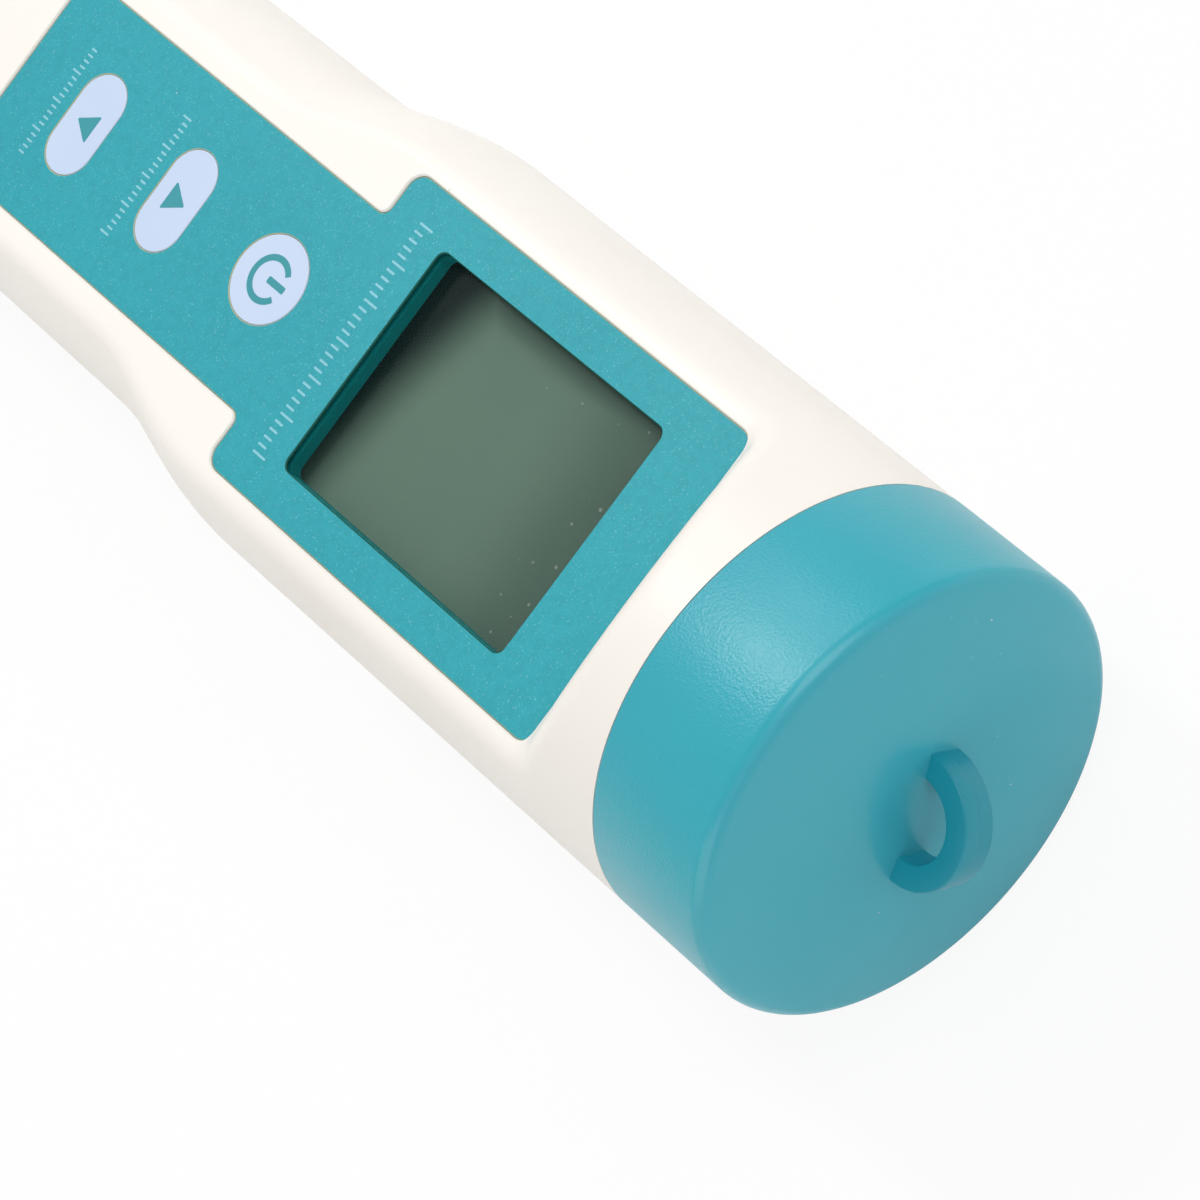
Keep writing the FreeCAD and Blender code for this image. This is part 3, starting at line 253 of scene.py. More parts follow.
@dataclass(frozen=True)
class Finish:
    """A surface: its tone, its grain, and how it takes light."""

    name: str
    colour: Colour
    second: Colour | None = None
    roughness: float = 0.4
    rough_spread: float = 0.06
    specular: float = 0.5
    metallic: float = 0.0
    alpha: float = 1.0
    grain_scale: float = 3500.0
    grain_depth: float = 0.004
    mottle_scale: float = 45.0
    dust: float = 0.0
    dust_scale: float = 1100.0
    dust_share: float = 0.5
    dust_colour: Colour = (0.8, 0.82, 0.8)
    scuffs: float = 0.15
    scuff_roughness: float = 0.3

    def build(self) -> bpy.types.Material:
        """Builds the material, or gives the one that is there already."""
        ready = bpy.data.materials.get(self.name)
        if ready:
            return ready
        material = bpy.data.materials.new(self.name)
        material.use_nodes = True
        web = Web(material.node_tree)
        where = web.place()
        scales = {"Scale": self.grain_scale, "Mottle Scale": self.mottle_scale}
        grain = self.group(web, Group.GRAIN, where, scales)
        scuff = self.group(web, Group.SCUFF, where, {"Amount": self.scuffs})["Mask"]
        colour = self.tint(web, where, grain["Mottle"])
        if self.dust:
            mask = self.group(web, Group.DUST, where, {"Scale": self.dust_scale, "Amount": self.dust})["Mask"]
            colour = web.mix(web.times(mask, self.dust_share), colour, self.dust_colour)
        low = self.roughness - self.rough_spread / 2
        rough = web.math("MULTIPLY_ADD", grain["Mottle"], self.rough_spread, low)
        rough = web.math("ADD", rough, web.times(scuff, self.scuff_roughness), clamp=True)
        height = self.relief(web, where, grain["Height"])
        bump = web.node("Bump", {"Height": height, "Strength": 1.0, "Distance": self.grain_depth * MM})
        inputs = {
            "Base Color": colour,
            "Roughness": self.roughen(web, where, rough),
            "Normal": bump.outputs[0],
            "Specular IOR Level": self.specular,
            "Metallic": self.metallic,
            "Alpha": self.alpha,
        }
        shader = web.node("BsdfPrincipled", inputs)
        web.node("OutputMaterial", {"Surface": shader.outputs[0]})
        return material

    def group(self, web: Web, group: Group, where: Socket, values: dict[str, float]) -> bpy.types.NodeOutputs:
        """Places a shared group with this finish's own values, and gives its outputs."""
        made = web.node("Group", node_tree=group.tree())
        for name, value in {"Vector": where, **values}.items():
            web.feed(made.inputs[name], value)
        return made.outputs

    def tint(self, web: Web, where: Socket, mottle: Socket) -> Socket:
        """Gives the tone over the surface."""
        return web.mix(mottle, self.colour, self.second or tuple(SHADE * value for value in self.colour))

    def relief(self, web: Web, where: Socket, height: Socket) -> Socket:
        """Gives the height for the bump."""
        return height

    def roughen(self, web: Web, where: Socket, rough: Socket) -> Socket:
        """Gives the roughness over the surface."""
        return rough


@dataclass(frozen=True)
class CapFinish(Finish):
    """Teal cap: grained skirt and a smooth, slightly bluer end."""

    end_colour: Colour = (0.04, 0.33, 0.42)
    end_x: float = 0.0863
    end_smoothing: float = 0.95
    end_shine: float = 0.08

    def beyond(self, web: Web, where: Socket, low: float, high: float) -> Socket:
        """Gives 0 on the skirt and 1 on the end, with a step between two places before end_x."""
        return web.ramp(web.axes(where)[0], self.end_x - low, self.end_x - high)

    def tint(self, web: Web, where: Socket, mottle: Socket) -> Socket:
        """Gives the skirt's tone, and beyond end_x the end's."""
        skirt = web.mix(mottle, self.colour, self.second)
        return web.mix(self.beyond(web, where, 0.0004, 0.0), skirt, self.end_colour)

    def relief(self, web: Web, where: Socket, height: Socket) -> Socket:
        """Gives full grain on the skirt and a trace of it on the end."""
        at_end = self.beyond(web, where, 0.0010, 0.0003)
        return web.times(height, web.rest(web.times(at_end, self.end_smoothing)))

    def roughen(self, web: Web, where: Socket, rough: Socket) -> Socket:
        """Gives the rounded rim and the end a smoother surface than the skirt's."""
        at_end = self.beyond(web, where, 0.0010, 0.0003)
        return web.math("SUBTRACT", rough, web.times(at_end, self.end_shine))


@dataclass(frozen=True)
class OverlayFinish(Finish):
    """Printed overlay: pale sparkle in the teal, a pale outer edge, and painted shade on its edge at the
    window.
    """

    sparkle: Colour = (0.26, 0.66, 0.70)
    sparkle_share: float = 0.55
    cloud_share: float = 0.16
    edge: Colour = (0.45, 0.47, 0.30)
    # painted shade: the overlay's edge round the window is painted dark as the well's shadow
    window_edge_shade: Colour = (0.01, 0.12, 0.10)
    window: Triple = (0.0299, 0.0576, 0.0104)

    def tint(self, web: Web, where: Socket, mottle: Socket) -> Socket:
        """Gives the teal with its flecks, the edge's own tone on the outer sides, and painted shade on the
        sides at the window.
        """
        base = web.mix(mottle, self.colour, self.second)
        flecks = web.node("TexNoise", {"Vector": where, "Scale": 6400.0, "Detail": 2.0, "Roughness": 0.6})
        cloud = web.node("TexNoise", {"Vector": where, "Scale": 1300.0, "Detail": 2.0})
        lit = web.ramp(flecks.outputs[0], 0.58, 0.8)
        dark = web.rest(web.ramp(cloud.outputs[0], 0.30, 0.62))
        base = web.mix(web.times(dark, self.cloud_share), base, tuple(0.6 * value for value in self.colour))
        base = web.mix(web.times(lit, self.sparkle_share), base, self.sparkle)
        x, y, _ = web.axes(where)
        low, high, half = self.window
        inside = web.times(web.math("GREATER_THAN", x, low), web.math("LESS_THAN", x, high))
        inside = web.times(inside, web.math("LESS_THAN", web.math("ABSOLUTE", y), half))
        up = web.math("ABSOLUTE", web.axes(web.node("NewGeometry").outputs["Normal"])[2])
        # sides at the window take the painted shade of the well; the outer sides take the edge's own pale
        # tone
        return web.mix(web.rest(web.ramp(up, 0.8, 0.97)), base, web.mix(inside, self.edge, self.window_edge_shade))


@dataclass(frozen=True)
class DisplayFinish(Finish):
    """Blank display: grey green with painted shade, the shadow and dark reflection of the well's walls, that
    falls to near black at its far edge and dims it at the others.
    """

    # colour of the painted shade: the well's shadow and its dark reflection on the display
    dark: Colour = (0.006, 0.018, 0.017)
    lint: Colour = (0.4, 0.45, 0.42)
    far_x: float = 0.0300
    near_x: float = 0.0572
    side_y: float = 0.0103

    def tint(self, web: Web, where: Socket, mottle: Socket) -> Socket:
        """Gives the grey green with painted shade along its margins and a little lint at the near edge."""
        x, y, _ = web.axes(where)
        base = web.mix(mottle, self.colour, self.second)
        # far, near and side paint the well's shadow and dark reflection: strongest at the far edge, weaker at
        # the near edge and the +Y side
        skew = web.math("SUBTRACT", x, web.times(y, 0.15))
        skew = web.math("SUBTRACT", skew, web.times(web.math("MAXIMUM", y, 0.0), 0.1))
        far = web.rest(web.ramp(skew, self.far_x + 0.0003, self.far_x + 0.0062))
        near = web.times(web.ramp(x, self.near_x - 0.012, self.near_x - 0.001), 0.36)
        side = web.times(web.ramp(y, self.side_y - 0.0030, self.side_y + 0.0004), 0.6)
        base = web.mix(web.math("MAXIMUM", web.math("MAXIMUM", far, near), side), base, self.dark)
        lint = self.group(web, Group.DUST, where, {"Scale": 1500.0, "Amount": 0.2, "Size": 0.2})["Mask"]
        strip = web.ramp(x, self.near_x - 0.0062, self.near_x - 0.0034)
        return web.mix(web.times(web.times(lint, strip), self.dust_share), base, self.lint)


@dataclass(frozen=True)
class BoardFinish(Finish):
    """Circuit board: tracks that show through the solder mask."""

    track: Colour = (0.05, 0.22, 0.09)

    def tint(self, web: Web, where: Socket, mottle: Socket) -> Socket:
        """Gives the mask with lighter tracks."""
        mask = (*self.colour, 1.0)
        tones = {"Color1": mask, "Color2": mask, "Mortar": (*self.track, 1.0)}
        inputs = {"Vector": where, "Scale": 260.0, "Mortar Size": 0.06, **tones}
        return web.node("TexBrick", inputs).outputs[0]


@dataclass(frozen=True)
class SpongeFinish(Finish):
    """Open-cell sponge: pale walls, with painted shade in the pores between them."""

    pore_scale: float = 1500.0
    # share of the wall colour left in the pores, which paints the shade that falls in them
    pore_shade: float = 0.35

    def pores(self, web: Web, where: Socket) -> Socket:
        """Gives the distance from the middle of the nearest pore."""
        inputs = {"Vector": where, "Scale": self.pore_scale}
        return web.node("TexVoronoi", inputs, feature="SMOOTH_F1").outputs[0]

    def tint(self, web: Web, where: Socket, mottle: Socket) -> Socket:
        """Gives pale walls and painted shade in the pores."""
        wall = web.ramp(self.pores(web, where), 0.15, 0.5)
        return web.mix(wall, tuple(self.pore_shade * value for value in self.colour), self.colour)

    def relief(self, web: Web, where: Socket, height: Socket) -> Socket:
        """Gives deep pores."""
        return self.pores(web, where)


WHITE = Finish(
    "white_moulding", linear(244, 240, 234), linear(242, 237, 230), roughness=0.38, specular=0.4,
    grain_scale=2200.0, grain_depth=0.0012, dust=0.006, dust_colour=(0.55, 0.53, 0.48), scuffs=0.1,
)
TEAL_CAP = CapFinish(
    "teal_moulding", linear(48, 169, 185), linear(44, 164, 181), roughness=0.33, rough_spread=0.04,
    grain_scale=4300.0, grain_depth=0.03, dust=0.012, scuffs=0.05, end_colour=linear(60, 170, 188),
)
TEAL_LOOP = Finish(
    "teal_loop", linear(20, 150, 170), linear(18, 144, 164), roughness=0.34, grain_depth=0.002, scuffs=0.1
)
TEAL_PLATE = Finish(
    "teal_well", linear(14, 142, 144), linear(12, 134, 138), specular=0.1, grain_depth=0.002
)
OVERLAY = OverlayFinish(
    "teal_overlay", linear(38, 160, 173), linear(34, 156, 170), specular=0.3, grain_scale=4500.0,
    dust=0.004, scuffs=0.05,
)
KEY_PRINT = Finish(
    "pale_print", linear(190, 208, 234), linear(194, 211, 236), roughness=0.45, grain_scale=4200.0,
    grain_depth=0.003, scuffs=0.0,
)
KEY_MARK = Finish("symbol_print", linear(36, 146, 158), roughness=0.45, grain_depth=0.002, scuffs=0.0)
PRINT_MARK = Finish("scale_print", linear(128, 196, 212), roughness=0.45, grain_depth=0.002, scuffs=0.0)
DISPLAY = DisplayFinish(
    "display_cell", linear(109, 137, 121), linear(106, 134, 119), roughness=0.3, rough_spread=0.01,
    specular=0.12, grain_depth=0.0001, mottle_scale=80.0, dust=0.008, dust_colour=(0.4, 0.45, 0.4),
    scuffs=0.02,
)
LENS = Finish(
    "clear_lens", (0.01, 0.02, 0.02), roughness=0.08, rough_spread=0.01, specular=0.3, alpha=0.08,
    grain_depth=0.0001, scuffs=0.05,
)
BLACK = Finish("black_moulding", (0.012, 0.012, 0.013), roughness=0.5, grain_depth=0.006)
GREY = Finish("grey_moulding", linear(92, 96, 100), linear(86, 90, 94), roughness=0.45, grain_depth=0.006)
GUIDE = Finish("frosted_guide", linear(226, 232, 228), roughness=0.3, grain_depth=0.003)
BOARD = BoardFinish("solder_mask", linear(18, 92, 52), roughness=0.32, grain_depth=0.002)
RUBBER = Finish("black_rubber", (0.011, 0.011, 0.012), roughness=0.62, grain_scale=2600.0, grain_depth=0.01)
BANDED = Finish(
    "banded_rubber", linear(120, 118, 112), linear(30, 30, 32), roughness=0.6, mottle_scale=2200.0
)
STEEL = Finish(
    "plain_steel", (0.60, 0.60, 0.61), (0.54, 0.54, 0.55), roughness=0.26, metallic=1.0,
    grain_depth=0.002, scuffs=0.3,
)
NICKEL = Finish(
    "nickel_plate", (0.68, 0.67, 0.64), (0.62, 0.61, 0.58), roughness=0.2, metallic=1.0,
    grain_depth=0.001, scuffs=0.4,
)
BRASS = Finish(
    "spring_brass", (0.72, 0.52, 0.22), (0.66, 0.47, 0.19), roughness=0.24, metallic=1.0,
    grain_depth=0.001, scuffs=0.3,
)
PLATINUM = Finish(
    "platinum_band", (0.66, 0.64, 0.60), roughness=0.14, metallic=1.0, grain_depth=0.0006, scuffs=0.2
)
PROBE_GLASS = Finish(
    "thin_glass", (0.86, 0.93, 0.95), roughness=0.05, rough_spread=0.02, alpha=0.38,
    grain_depth=0.0002, scuffs=0.05,
)
CERAMIC = Finish(
    "porous_plug", linear(232, 228, 214), linear(214, 208, 190), roughness=0.85, grain_depth=0.03
)
SPONGE = SpongeFinish("open_sponge", linear(222, 206, 140), roughness=0.95, grain_depth=0.12)


# Shapes, all in millimetres until finished


def arc(centre: Point, radius: float, start: float, end: float, steps: int) -> list[Point]:
    """Gives points along an arc.

    Args:
        centre: middle of the arc.
        radius: its radius.
        start: first angle in degrees.
        end: last angle in degrees.
        steps: number of stretches.

    Returns:
        The points in order, both ends included.
    """
    spots = []
    for step in range(steps + 1):
        angle = math.radians(start + (end - start) * step / steps)
        spots.append((centre[0] + radius * math.cos(angle), centre[1] + radius * math.sin(angle)))
    return spots


def rounded(corners: Sequence[Point], radii: Sequence[float] | float, steps: int = 6) -> list[Point]:
    """Rounds the corners of a closed outline.

    Args:
        corners: the outline's corners in order.
        radii: radius of every corner, or one for all of them.
        steps: stretches in each rounding.

    Returns:
        The outline with an arc at each corner whose radius isn't 0.
    """
    if isinstance(radii, (int, float)):
        radii = [radii] * len(corners)
    spots = []
    for index, (corner, radius) in enumerate(zip(corners, radii)):
        here = Vector(corner)
        if radius <= 0:
            spots.append(tuple(here))
            continue
        back = (Vector(corners[index - 1]) - here).normalized()
        ahead = (Vector(corners[(index + 1) % len(corners)]) - here).normalized()
        half = back.angle(ahead) / 2
        middle = here + (back + ahead).normalized() * radius / math.sin(half)
        first = here + back * radius / math.tan(half) - middle
        last = here + ahead * radius / math.tan(half) - middle
        sweep = first.angle_signed(last)
        for step in range(steps + 1):
            spoke = Matrix.Rotation(-sweep * step / steps, 2) @ first
            spots.append(tuple(middle + spoke))
    return spots


def skin(rings: Sequence[Sequence[Vector]]) -> Shape:
    """Draws a closed skin through rings of points, each extruded from the last.

    Args:
        rings: rings with the same number of points.

    Returns:
        A closed shape with a flat face on the first and the last ring.
    """
    shape = bmesh.new()
    bmesh.ops.create_circle(shape, cap_ends=False, segments=len(rings[0]), radius=1.0)
    shape.verts.ensure_lookup_table()
    current = list(shape.verts)
    for vert, spot in zip(current, rings[0]):
        vert.co = spot
    edges = list(shape.edges)
    for ring in rings[1:]:
        made = bmesh.ops.extrude_edge_only(shape, edges=edges)["geom"]
        edges = [item for item in made if isinstance(item, Edge)]
        fresh = [item for item in made if isinstance(item, bmesh.types.BMVert)]
        partner = {}
        for vert in fresh:
            for edge in vert.link_edges:
                other = edge.other_vert(vert)
                if other not in partner.values() and other in current:
                    partner[other] = vert
        current = [partner[vert] for vert in current]
        for vert, spot in zip(current, ring):
            vert.co = spot
    rim = [edge for edge in shape.edges if edge.is_boundary]
    bmesh.ops.holes_fill(shape, edges=rim, sides=0)
    bmesh.ops.recalc_face_normals(shape, faces=shape.faces)
    return shape


def rectangle(low: Point, high: Point) -> list[Point]:
    """Gives the outline of a rectangle between two corners."""
    return [low, (high[0], low[1]), high, (low[0], high[1])]


def rod(start: float, end: float, radius: float) -> list[Point]:
    """Gives the profile of a plain round rod."""
    return [(start, 0.0), (start, radius), (end, radius), (end, 0.0)]


def ring_profile(x: float, radius: float, thickness: float, steps: int = 16) -> list[Point]:
    """Gives the profile of an O-ring with its middle at a place along X and a radius."""
    angles = [TURN * step / steps for step in range(steps)]
    return [(x + thickness * math.cos(angle), radius + thickness * math.sin(angle)) for angle in angles]


def slab(outline: Sequence[Point], low: float, high: float) -> Shape:
    """Raises an outline in X and Y from low to high."""
    return skin([[Vector((x, y, level)) for x, y in outline] for level in (low, high)])


def run(outline: Sequence[Point], start: float, end: float) -> Shape:
    """Draws an outline in Y and Z along X."""
    return skin([[Vector((x, y, z)) for y, z in outline] for x in (start, end)])


def printed(outline: Sequence[Point], top: float) -> Shape:
    """Makes a printed mark that stands a hair proud of a top face."""
    return slab(outline, top - PRINT_SINK, top + PRINT_RISE)


def block(low: Sequence[float], high: Sequence[float]) -> Shape:
    """Makes a block between two corners."""
    shape = bmesh.new()
    size = [b - a for a, b in zip(low, high)]
    middle = Matrix.Translation([(a + b) / 2 for a, b in zip(low, high)])
    bmesh.ops.create_cube(shape, size=1.0, matrix=middle @ Matrix.Diagonal((*size, 1.0)))
    return shape


def turned(profile: Sequence[Point], height: float, y: float = 0.0, steps: int = ROUND_STEPS) -> Shape:
    """Spins a profile of x and radius about a line along X.

    Args:
        profile: points in order; where it starts and ends on the axis it is left open there.
        height: height of the axis.
        y: side offset of the axis.
        steps: facets round the axis.

    Returns:
        The closed shape.
    """
    shape = bmesh.new()
    verts = [shape.verts.new((x, y, height + radius)) for x, radius in profile]
    edges = [shape.edges.new(pair) for pair in zip(verts, verts[1:])]
    if profile[0][1] > 0:
        edges.append(shape.edges.new((verts[-1], verts[0])))
    turn = {"cent": (0, y, height), "axis": (1, 0, 0), "dvec": (0, 0, 0), "angle": TURN, "steps": steps}
    bmesh.ops.spin(shape, geom=verts + edges, use_merge=True, **turn)
    bmesh.ops.remove_doubles(shape, verts=shape.verts, dist=WELD)
    bmesh.ops.recalc_face_normals(shape, faces=shape.faces)
    return shape


def joined(shapes: Sequence[Shape]) -> Shape:
    """Puts separate shapes into one, without uniting them."""
    whole = bmesh.new()
    for shape in shapes:
        mesh = bpy.data.meshes.new("join")
        shape.to_mesh(mesh)
        shape.free()
        whole.from_mesh(mesh)
        bpy.data.meshes.remove(mesh)
    return whole


def loose(name: str, shape: Shape) -> bpy.types.Object:
    """Makes a short-lived object of a shape."""
    mesh = bpy.data.meshes.new(name)
    shape.to_mesh(mesh)
    shape.free()
    made = bpy.data.objects.new(name, mesh)
    bpy.context.scene.collection.objects.link(made)
    return made


def carved(base: Shape, tools: Sequence[Shape]) -> Shape:
    """Cuts closed shapes out of another.

    Args:
        base: shape that is cut.
        tools: shapes that are taken away, one after another.

    Returns:
        What is left of the base.
    """
    body = loose("carve_base", base)
    cutters = [loose(f"carve_tool_{count}", tool) for count, tool in enumerate(tools)]
    for cutter in cutters:
        step = body.modifiers.new("carve", "BOOLEAN")
        step.operation = "DIFFERENCE"
        step.solver = "EXACT"
        step.object = cutter
    graph = bpy.context.evaluated_depsgraph_get()
    mesh = bpy.data.meshes.new_from_object(body.evaluated_get(graph))
    result = bmesh.new()
    result.from_mesh(mesh)
    bpy.data.meshes.remove(mesh)
    for item in (body, *cutters):
        spent = item.data
        bpy.data.objects.remove(item)
        bpy.data.meshes.remove(spent)
    bmesh.ops.remove_doubles(result, verts=result.verts, dist=WELD)
    return result


def soften(shape: Shape, choose: Callable[[Edge], bool], width: float, steps: int = 3) -> None:
    """Bevels the edges that a test picks."""
    edges = [edge for edge in shape.edges if len(edge.link_faces) == 2 and choose(edge)]
    kind = {"offset_type": "OFFSET", "profile": 0.5, "affect": "EDGES", "clamp_overlap": True}
    bmesh.ops.bevel(shape, geom=edges, offset=width, segments=steps, material=-1, **kind)


def finished(
    name: str,
    shape: Shape,
    finish: Finish,
    replaces: str = "",
    body: Body = Body.PEN,
    sharp: float = SHARP_ANGLE,
) -> None:
    """Turns a shape in millimetres into a dressed piece that rides on a body.

    Args:
        name: the piece's name.
        shape: closed shape, which is used up.
        finish: its surface.
        replaces: the solid it stands for, if any.
        body: the body it rides on.
        sharp: angle above which an edge stays crisp.
    """
    bmesh.ops.scale(shape, vec=(MM, MM, MM), verts=shape.verts)
    for face in shape.faces:
        face.smooth = True
    for edge in shape.edges:
        edge.smooth = len(edge.link_faces) == 2 and edge.calc_face_angle(0.0) < sharp
    piece = loose(name, shape)
    piece.data.materials.append(finish.build())
    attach(piece, body.value)
    if replaces:
        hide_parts(replaces)
    log.info("%s: %d faces on %s", name, len(piece.data.polygons), body.value)


def dress(node: str, finish: Finish) -> None:
    """Gives a solid of the frame its finish."""
    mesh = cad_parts[node].data
    mesh.materials.clear()
    mesh.materials.append(finish.build())
    log.info("%s: dressed in %s", node, finish.name)


# The white housing


@dataclass
class Form:
    """Outside of the housing: round in the head, squarer in the grip, with a flat and a ramp on top."""

    head_radius: float = 19.0
    grip_half: float = 16.3
    end_half: float = 15.5
    grip_crest: float = 33.2
    head_sink: float = 0.02
    grip_sink: float = 0.3
    squareness: float = 2.6
    seam_x: float = 74.25
    far_x: float = -94.0
    shoulder_x: float = 25.0
    shoulder_length: float = 20.4
    flat_z: float = 29.95
    foot_x: float = 64.7
    ramp: float = math.radians(57)
    foot_blend: float = 1.6
    edge_radius: float = 2.0
    end_radius: float = 2.0
    least_bend: float = 0.15
    least_blend: float = 0.2
    tries: int = 26

    def section(self, x: float) -> tuple[float, float, float, float]:
        """Gives half width, half height, middle height and power of the section at x."""
        share = max(0.0, min(1.0, (self.shoulder_x - x) / self.shoulder_length))
        blend = share**3 * (10 - 15 * share + 6 * share**2)
        grip_x = self.shoulder_x - self.shoulder_length
        taper = max(0.0, (grip_x - x) / (grip_x - self.far_x))
        half = self.head_radius + (self.grip_half - self.head_radius) * blend
        half -= (self.grip_half - self.end_half) * taper
        top = 2 * self.head_radius + (self.grip_crest - 2 * self.head_radius) * blend
        bottom = -self.head_sink - (self.grip_sink - self.head_sink) * blend
        power = 2 + (self.squareness - 2) * blend
        return half, (top - bottom) / 2, (top + bottom) / 2, power

    def above_cut(self, x: float, z: float) -> tuple[float, float]:
        """Gives how far a point stands above the flat and ramp, and the share of the ramp there."""
        over = z - self.flat_z
        ramp = -(x - self.foot_x) * math.sin(self.ramp) + over * math.cos(self.ramp)
        gap = max(self.foot_blend - abs(over - ramp), 0.0) / self.foot_blend
        share = 0.5 + 0.5 * max(-1.0, min(1.0, (over - ramp) / self.foot_blend))
        return min(over, ramp) - gap * gap * self.foot_blend / 4, share

    def radius_at(self, x: float, angle: float) -> float:
        """Finds where a ray from the section's middle meets the outside.

        Args:
            x: place along the pen.
            angle: direction of the ray, 0 to the side and a quarter turn upwards.

        Returns:
            The distance from the section's middle.
        """
        half, tall, middle, power = self.section(x)
        across, up = math.cos(angle), math.sin(angle)
        free = (abs(across / half) ** power + abs(up / tall) ** power) ** (-1 / power)
        reach = free
        if up > 0:
            slope_y, slope_z = abs(across / half) ** (power - 1), abs(up / tall) ** (power - 1)
            normal = Vector((0, slope_y / half, slope_z / tall)).normalized()
            share = self.above_cut(x, middle + free * up)[1]
            tilt = 1 - share * (1 - math.cos(self.ramp))
            lean = Vector((-math.sin(self.ramp) * share, 0, tilt)).normalized()
            bend = max(self.least_bend, normal.angle(lean))
            blend = max(self.least_blend, self.edge_radius * math.tan(bend / 2) * math.sin(bend))
            low, high = 0.3 * free, free
            for _ in range(self.tries):
                reach = (low + high) / 2
                inside = max(reach - free + blend, 0.0)
                over = max(self.above_cut(x, middle + reach * up)[0] + blend, 0.0)
                if math.hypot(inside, over) > blend:
                    high = reach
                else:
                    low = reach
        elif up < 0:
            reach = min(free, middle / -up)
        rise = x - self.far_x
        if rise < self.end_radius:
            reach -= self.end_radius - math.sqrt(max(0.0, self.end_radius**2 - (self.end_radius - rise) ** 2))
        return reach

    def angles(self) -> list[float]:
        """Gives the directions of a ring's points, close together where the flat's edges run."""
        right = stations([(-90, 20, 5.0), (20, 66, 0.8), (66, 90, 1.2)])
        left = [180 - angle for angle in reversed(right[1:-1])]
        return [math.radians(angle) for angle in right + left]

    def ring(self, x: float) -> list[Vector]:
        """Gives one ring of points round the outside at x."""
        middle = self.section(x)[2]
        spots = []
        for angle in self.angles():
            reach = self.radius_at(x, angle)
            spots.append(Vector((x, reach * math.cos(angle), middle + reach * math.sin(angle))))
        return spots

    def body(self, spans: Sequence[Triple]) -> Shape:
        """Draws the outside through rings at the stations of the spans."""
        return skin([self.ring(x) for x in stations(spans)])


def stations(spans: Sequence[Triple]) -> list[float]:
    """Gives evenly spaced places over spans of start, end and pitch, with the last end added."""
    places = []
    for start, end, pitch in spans:
        count = max(1, round(abs(end - start) / pitch))
        places += [start + (end - start) * step / count for step in range(count)]
    return [*places, spans[-1][1]]


@dataclass
class Housing:
    """Front and rear halves of the white housing."""

    form: Form = field(default_factory=Form)
    end_x: float = -46.0
    parting_z: float = 19.0
    parting_gap: float = 0.05
    wall: float = 2.0
    recess_gap: float = 0.02
    recess_lead: float = 0.12
    floor_z: float = 26.55
    room_step_x: float = 19.5
    ramp_x: Point = (70.6, 63.2)
    collar_x: float = 69.6
    barrel_radius: float = 12.05
    barrel_z: float = 14.975

    def build(self, panel: "Panel") -> None:
        """Builds both halves round the panel's recess."""
        form = self.form
        top_x, foot_x = self.ramp_x
        grip_x = form.shoulder_x - form.shoulder_length
        spans = [
            (form.seam_x, top_x, 1.0),
            (top_x, foot_x, 0.11),
            (foot_x, form.shoulder_x, 6.0),
            (form.shoulder_x, grip_x, 0.6),
            (grip_x, self.end_x, 10.0),
        ]
        recess = panel.recess(self.recess_gap, self.recess_lead, form.flat_z)
        whole = carved(form.body(spans), self.room() + recess)
        for name, sign in (("front", 1), ("rear", -1)):
            half = whole.copy()
            level = self.parting_z + sign * self.parting_gap / 2
            everything = [*half.verts, *half.edges, *half.faces]
            plane = {"plane_co": (0, 0, level), "plane_no": (0, 0, sign), "clear_inner": True}
            cut = bmesh.ops.bisect_plane(half, geom=everything, dist=WELD, **plane)["geom_cut"]
            rim = [item for item in cut if isinstance(item, Edge)]
            bmesh.ops.triangle_fill(half, use_beauty=True, use_dissolve=True, edges=rim, normal=(0, 0, -sign))
            bmesh.ops.recalc_face_normals(half, faces=half.faces)
            finished(f"{name}_housing", half, WHITE, f"{name}_shell")
        whole.free()

    def room(self) -> list[Shape]:
        """Gives the hollow's shapes: the head's bore, the grip's room and the barrel's hole."""
        form, wall, high = self.form, self.wall, self.floor_z
        bore, half = form.head_radius - wall, form.end_half - wall
        start = math.degrees(math.asin((high - form.head_radius) / bore))
        arch = arc((0.0, form.head_radius), bore, 180 - start, 360 + start, 90)
        shape = rounded(rectangle((-half, wall), (half, high)), [10.0, 10.0, 4.0, 4.0], 8)
        return [
            run(arch, self.room_step_x, self.collar_x + 0.1),
            turned(rod(self.collar_x, 80, bore), form.head_radius),
            run(shape, self.end_x + 3, self.room_step_x + 0.5),
            turned(rod(-50, -40, self.barrel_radius), self.barrel_z),
        ]


# Panel, display and keys


@dataclass(frozen=True)
class Ticks:
    """A printed row of strokes: the place of its feet, the way they point, its pitch and reach."""

    x: float
    way: int
    pitch: float
    reach: int
    long: float
    short: float
    width: float


